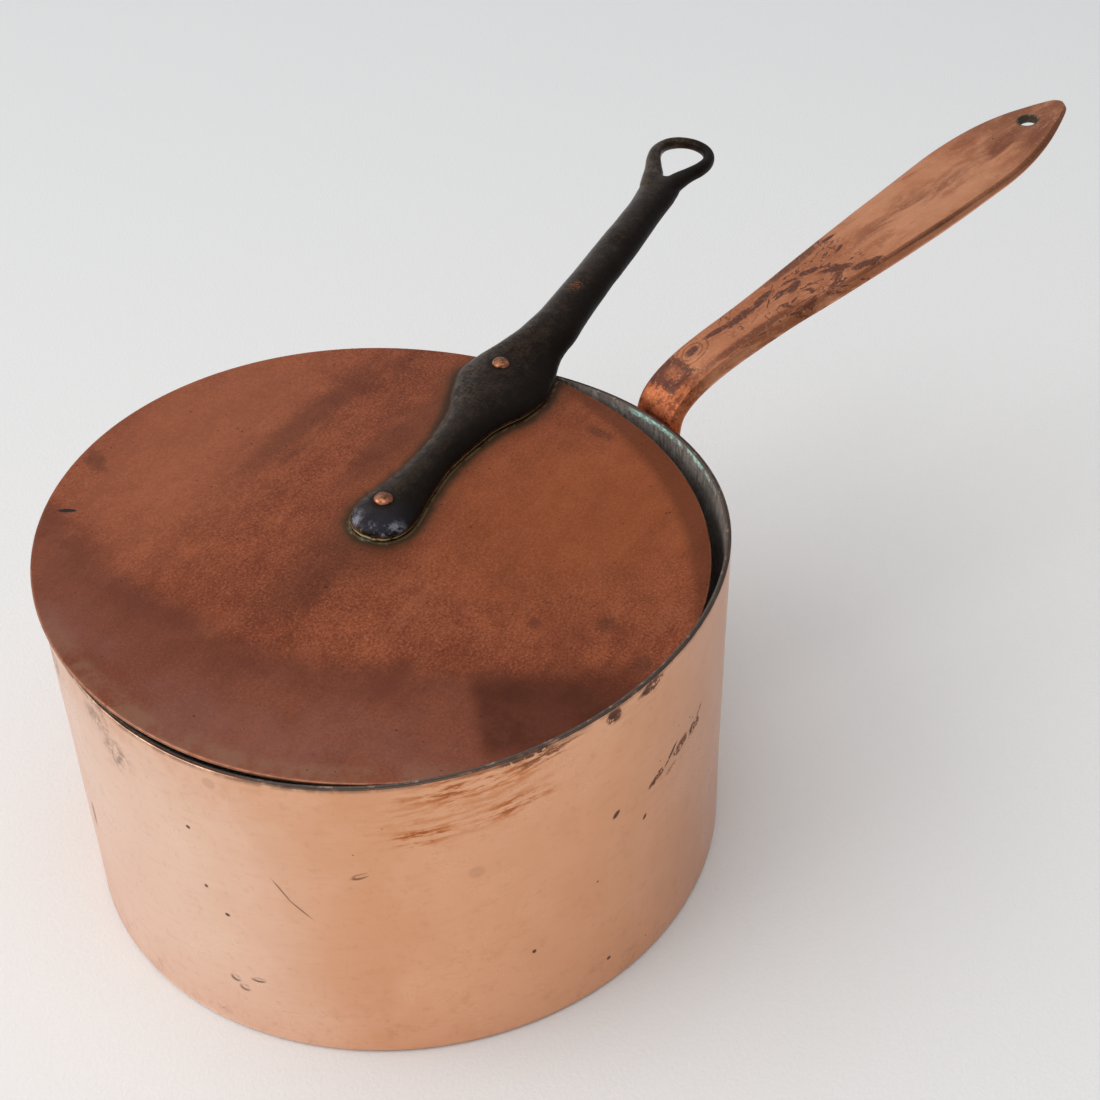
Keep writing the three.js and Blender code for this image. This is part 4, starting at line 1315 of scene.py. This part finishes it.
def iron_loop():
    middle = np.array(LOOP_MIDDLE)
    start, end = middle[0, 0], middle[-1, 0]
    far = middle[-2:0:-1] * (1, -1, 1)
    ring = [
        (x, LOOP_SIDE_SHIFT + y, LOOP_BASE_HEIGHT + LOOP_RISE * (x - start))
        for x, y, _ in np.vstack([middle, far])
    ]
    place, along = even_spline(ring, LOOP_STEPS, closed=True)
    wide = np.interp(place[:, 0], middle[:, 0], middle[:, 2])
    tall = np.interp(place[:, 0], (start, end), LOOP_THICKNESS)
    lowest = np.interp(place[:, 0], (start + 8, end), LOOP_SPLIT)
    turn = np.linspace(0, 2 * np.pi, LOOP_SIDES, endpoint=False)
    c, s = np.cos(turn), np.sin(turn)
    rows = []
    for centre, (ax, ay, _), w, t, low in zip(place, along, wide, tall, lowest):
        out = np.array((ay, -ax, 0)) / math.hypot(ax, ay)
        height = low - 0.5 + np.sign(s) * abs(s) ** LOOP_SQUARENESS * np.where(s > 0, 1 - low, low)
        rows.append(
            centre
            + np.outer(np.sign(c) * abs(c) ** LOOP_SQUARENESS * w / 2, out)
            + np.outer(height * t, (0, 0, 1))
        )
    return np.concatenate(rows), grid_faces(len(rows), len(turn), ring_rows=True)


def lid_handle(material, frame):
    """One forging: the stem and the loop are fused and their join is rounded."""
    points, faces = iron_stem()
    obj = mesh_object("lid_iron_handle", points, faces, material)
    ring_points, ring_faces = iron_loop()
    ring = mesh_object("loop_part", ring_points, ring_faces, material)
    add_modifier(obj, "join", "BOOLEAN", object=ring, operation="UNION", solver="EXACT")
    add_modifier(obj, "even", "REMESH", mode="VOXEL", voxel_size=VOXEL_SIZE * MM)
    add_modifier(obj, "round", "SMOOTH", factor=0.5, iterations=5)
    apply_modifiers(obj)
    bpy.data.objects.remove(ring, do_unlink=True)
    soften_join(obj)
    mesh = obj.data
    local = vertex_vectors(mesh, "co") / MM
    normal = vertex_vectors(mesh, "normal")
    local += normal * (ripple(local, 0.13, 17, 5) - 0.05)[:, None]
    local[:, 2] = np.maximum(local[:, 2], 0.02)
    mesh.vertices.foreach_set("co", (local * MM).ravel())
    store_side(mesh, local)
    mesh.transform(Matrix.Scale(MM, 4) @ frame @ Matrix.Scale(1 / MM, 4))
    shade(obj, 80)
    return obj


def store_side(mesh, local):
    """Keeps how far each point lies to the right (-1) or left (1) of the handle's middle line."""
    rows = iron_rows()
    loop = [(x, max(y + w / 2, 6.0), LOOP_SIDE_SHIFT, 0, 0) for x, y, w in LOOP_MIDDLE[4:]]
    rows = np.vstack([rows, loop])
    middle = np.interp(local[:, 0], rows[:, 0], rows[:, 2])
    half = np.interp(local[:, 0], rows[:, 0], rows[:, 1])
    store_values(mesh, "side", (local[:, 1] - middle) / np.maximum(half, 2.0))


def soften_join(obj):
    """Works the corner between stem and loop smooth, as a forging's is."""
    group = obj.vertex_groups.new(name="join")
    for vertex in obj.data.vertices:
        away = abs(vertex.co.x / MM - JOIN_AT) / JOIN_REACH
        if away < 1:
            group.add([vertex.index], min(1.0, 1.6 * (1 - away)), "REPLACE")
    add_modifier(obj, "join", "SMOOTH", factor=0.5, iterations=60, vertex_group="join")
    apply_modifiers(obj)
    obj.vertex_groups.clear()


def add_lid():
    frame = lid_matrix()
    sheet, tin, iron = lid_copper(frame), lining_tin_lid(), black_iron(frame)
    head = rivet_copper("lid_rivet_copper", (0.20, 0.072, 0.036), (0.50, 0.215, 0.12))
    add_piece(lid_disc(sheet, frame), "lid", "lid_disc")
    add_piece(lid_lining(tin, frame), "lid", "lid_tinning")
    add_piece(lid_handle(iron, frame), "lid", "lid_handle")
    lower = -LID_THICKNESS - LID_TIN_THICKNESS - 0.1
    for seed, (side, (x, y, top)) in enumerate(LID_RIVETS.items()):
        matrix = frame @ Matrix.Translation((x, y, 0))
        obj = rivet(f"lid_rivet_{side}", head, matrix, LID_RIVET, top - 0.25, lower, seed + 5)
        add_piece(obj, "lid", f"lid_handle_rivet_{side}")


# ---------------------------------------------------------------- studio

CAMERA_PLACE = (-0.2366, -0.4450, 0.5233)
CAMERA_AZIMUTH = 54.97
CAMERA_DOWN = 38.48
CAMERA_ROLL = -2.63
CAMERA_LENS = 56.93
SENSOR = 36.0
FLOOR_HALF = 15.0
FLOOR_DROP = 0.0002
ROOM_SIDE = (-0.82, 0.50, 0.28)
ROOM_LIGHT = (0.27, 0.84)
ROOM_COLOUR = (0.97, 0.985, 1.0, 1.0)


def add_camera():
    data = bpy.data.cameras.new("camera")
    data.lens = CAMERA_LENS
    data.sensor_width = SENSOR
    data.clip_start = 0.01
    data.clip_end = 100
    camera = link_object("camera", data)
    azimuth, down, roll = (math.radians(v) for v in (CAMERA_AZIMUTH, CAMERA_DOWN, CAMERA_ROLL))
    forward = Vector(
        (math.cos(azimuth) * math.cos(down), math.sin(azimuth) * math.cos(down), -math.sin(down))
    )
    level = forward.cross(Vector((0, 0, 1))).normalized()
    up = level.cross(forward)
    right = level * math.cos(roll) + up * math.sin(roll)
    over = up * math.cos(roll) - level * math.sin(roll)
    matrix = Matrix((right, over, -forward)).transposed().to_4x4()
    matrix.translation = CAMERA_PLACE
    camera.matrix_world = matrix
    bpy.context.scene.camera = camera


def area_light(name, place, target, size, power, colour=(1, 1, 1)):
    data = bpy.data.lights.new(name, "AREA")
    data.shape = "RECTANGLE"
    data.size, data.size_y = size
    data.energy = power
    data.color = colour
    light = link_object(name, data)
    light.location = place
    light.rotation_euler = (Vector(target) - Vector(place)).to_track_quat("-Z", "Y").to_euler()


def add_studio():
    """Plain pale floor and two soft boxes."""
    size = FLOOR_HALF / MM
    corners = [(-size, -size, 0), (size, -size, 0), (size, size, 0), (-size, size, 0)]
    floor = mesh_object("studio_floor", corners, [(0, 1, 2, 3)], floor_paper())
    floor.location.z = -FLOOR_DROP
    area_light("softbox_left", (-1.85, 0.7, 1.8), (0, 0, 0.1), (2.1, 1.9), 25, (1.0, 0.985, 0.97))
    area_light("softbox_over", (0.0, -0.2, 2.4), (0, 0, 0), (1.8, 1.8), 11)
    add_world()
    bpy.context.scene.view_settings.view_transform = "Standard"


def add_world():
    """Soft room light, brighter on the left and dimmer on the right."""
    world = bpy.data.worlds.new("studio")
    bpy.context.scene.world = world
    world.use_nodes = True
    tree = world.node_tree
    background = tree.nodes["Background"]
    direction = tree.nodes.new("ShaderNodeTexCoord").outputs["Generated"]
    side = tree.nodes.new("ShaderNodeVectorMath")
    side.operation = "DOT_PRODUCT"
    tree.links.new(direction, side.inputs[0])
    side.inputs[1].default_value = ROOM_SIDE
    ramp = tree.nodes.new("ShaderNodeMapRange")
    for name, value in zip(("From Min", "From Max", "To Min", "To Max"), (-0.9, 0.9, *ROOM_LIGHT)):
        ramp.inputs[name].default_value = value
    tree.links.new(side.outputs["Value"], ramp.inputs["Value"])
    tree.links.new(ramp.outputs[0], background.inputs[1])
    background.inputs[0].default_value = ROOM_COLOUR


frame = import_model()
add_camera()
add_studio()
add_pan()
add_lid()
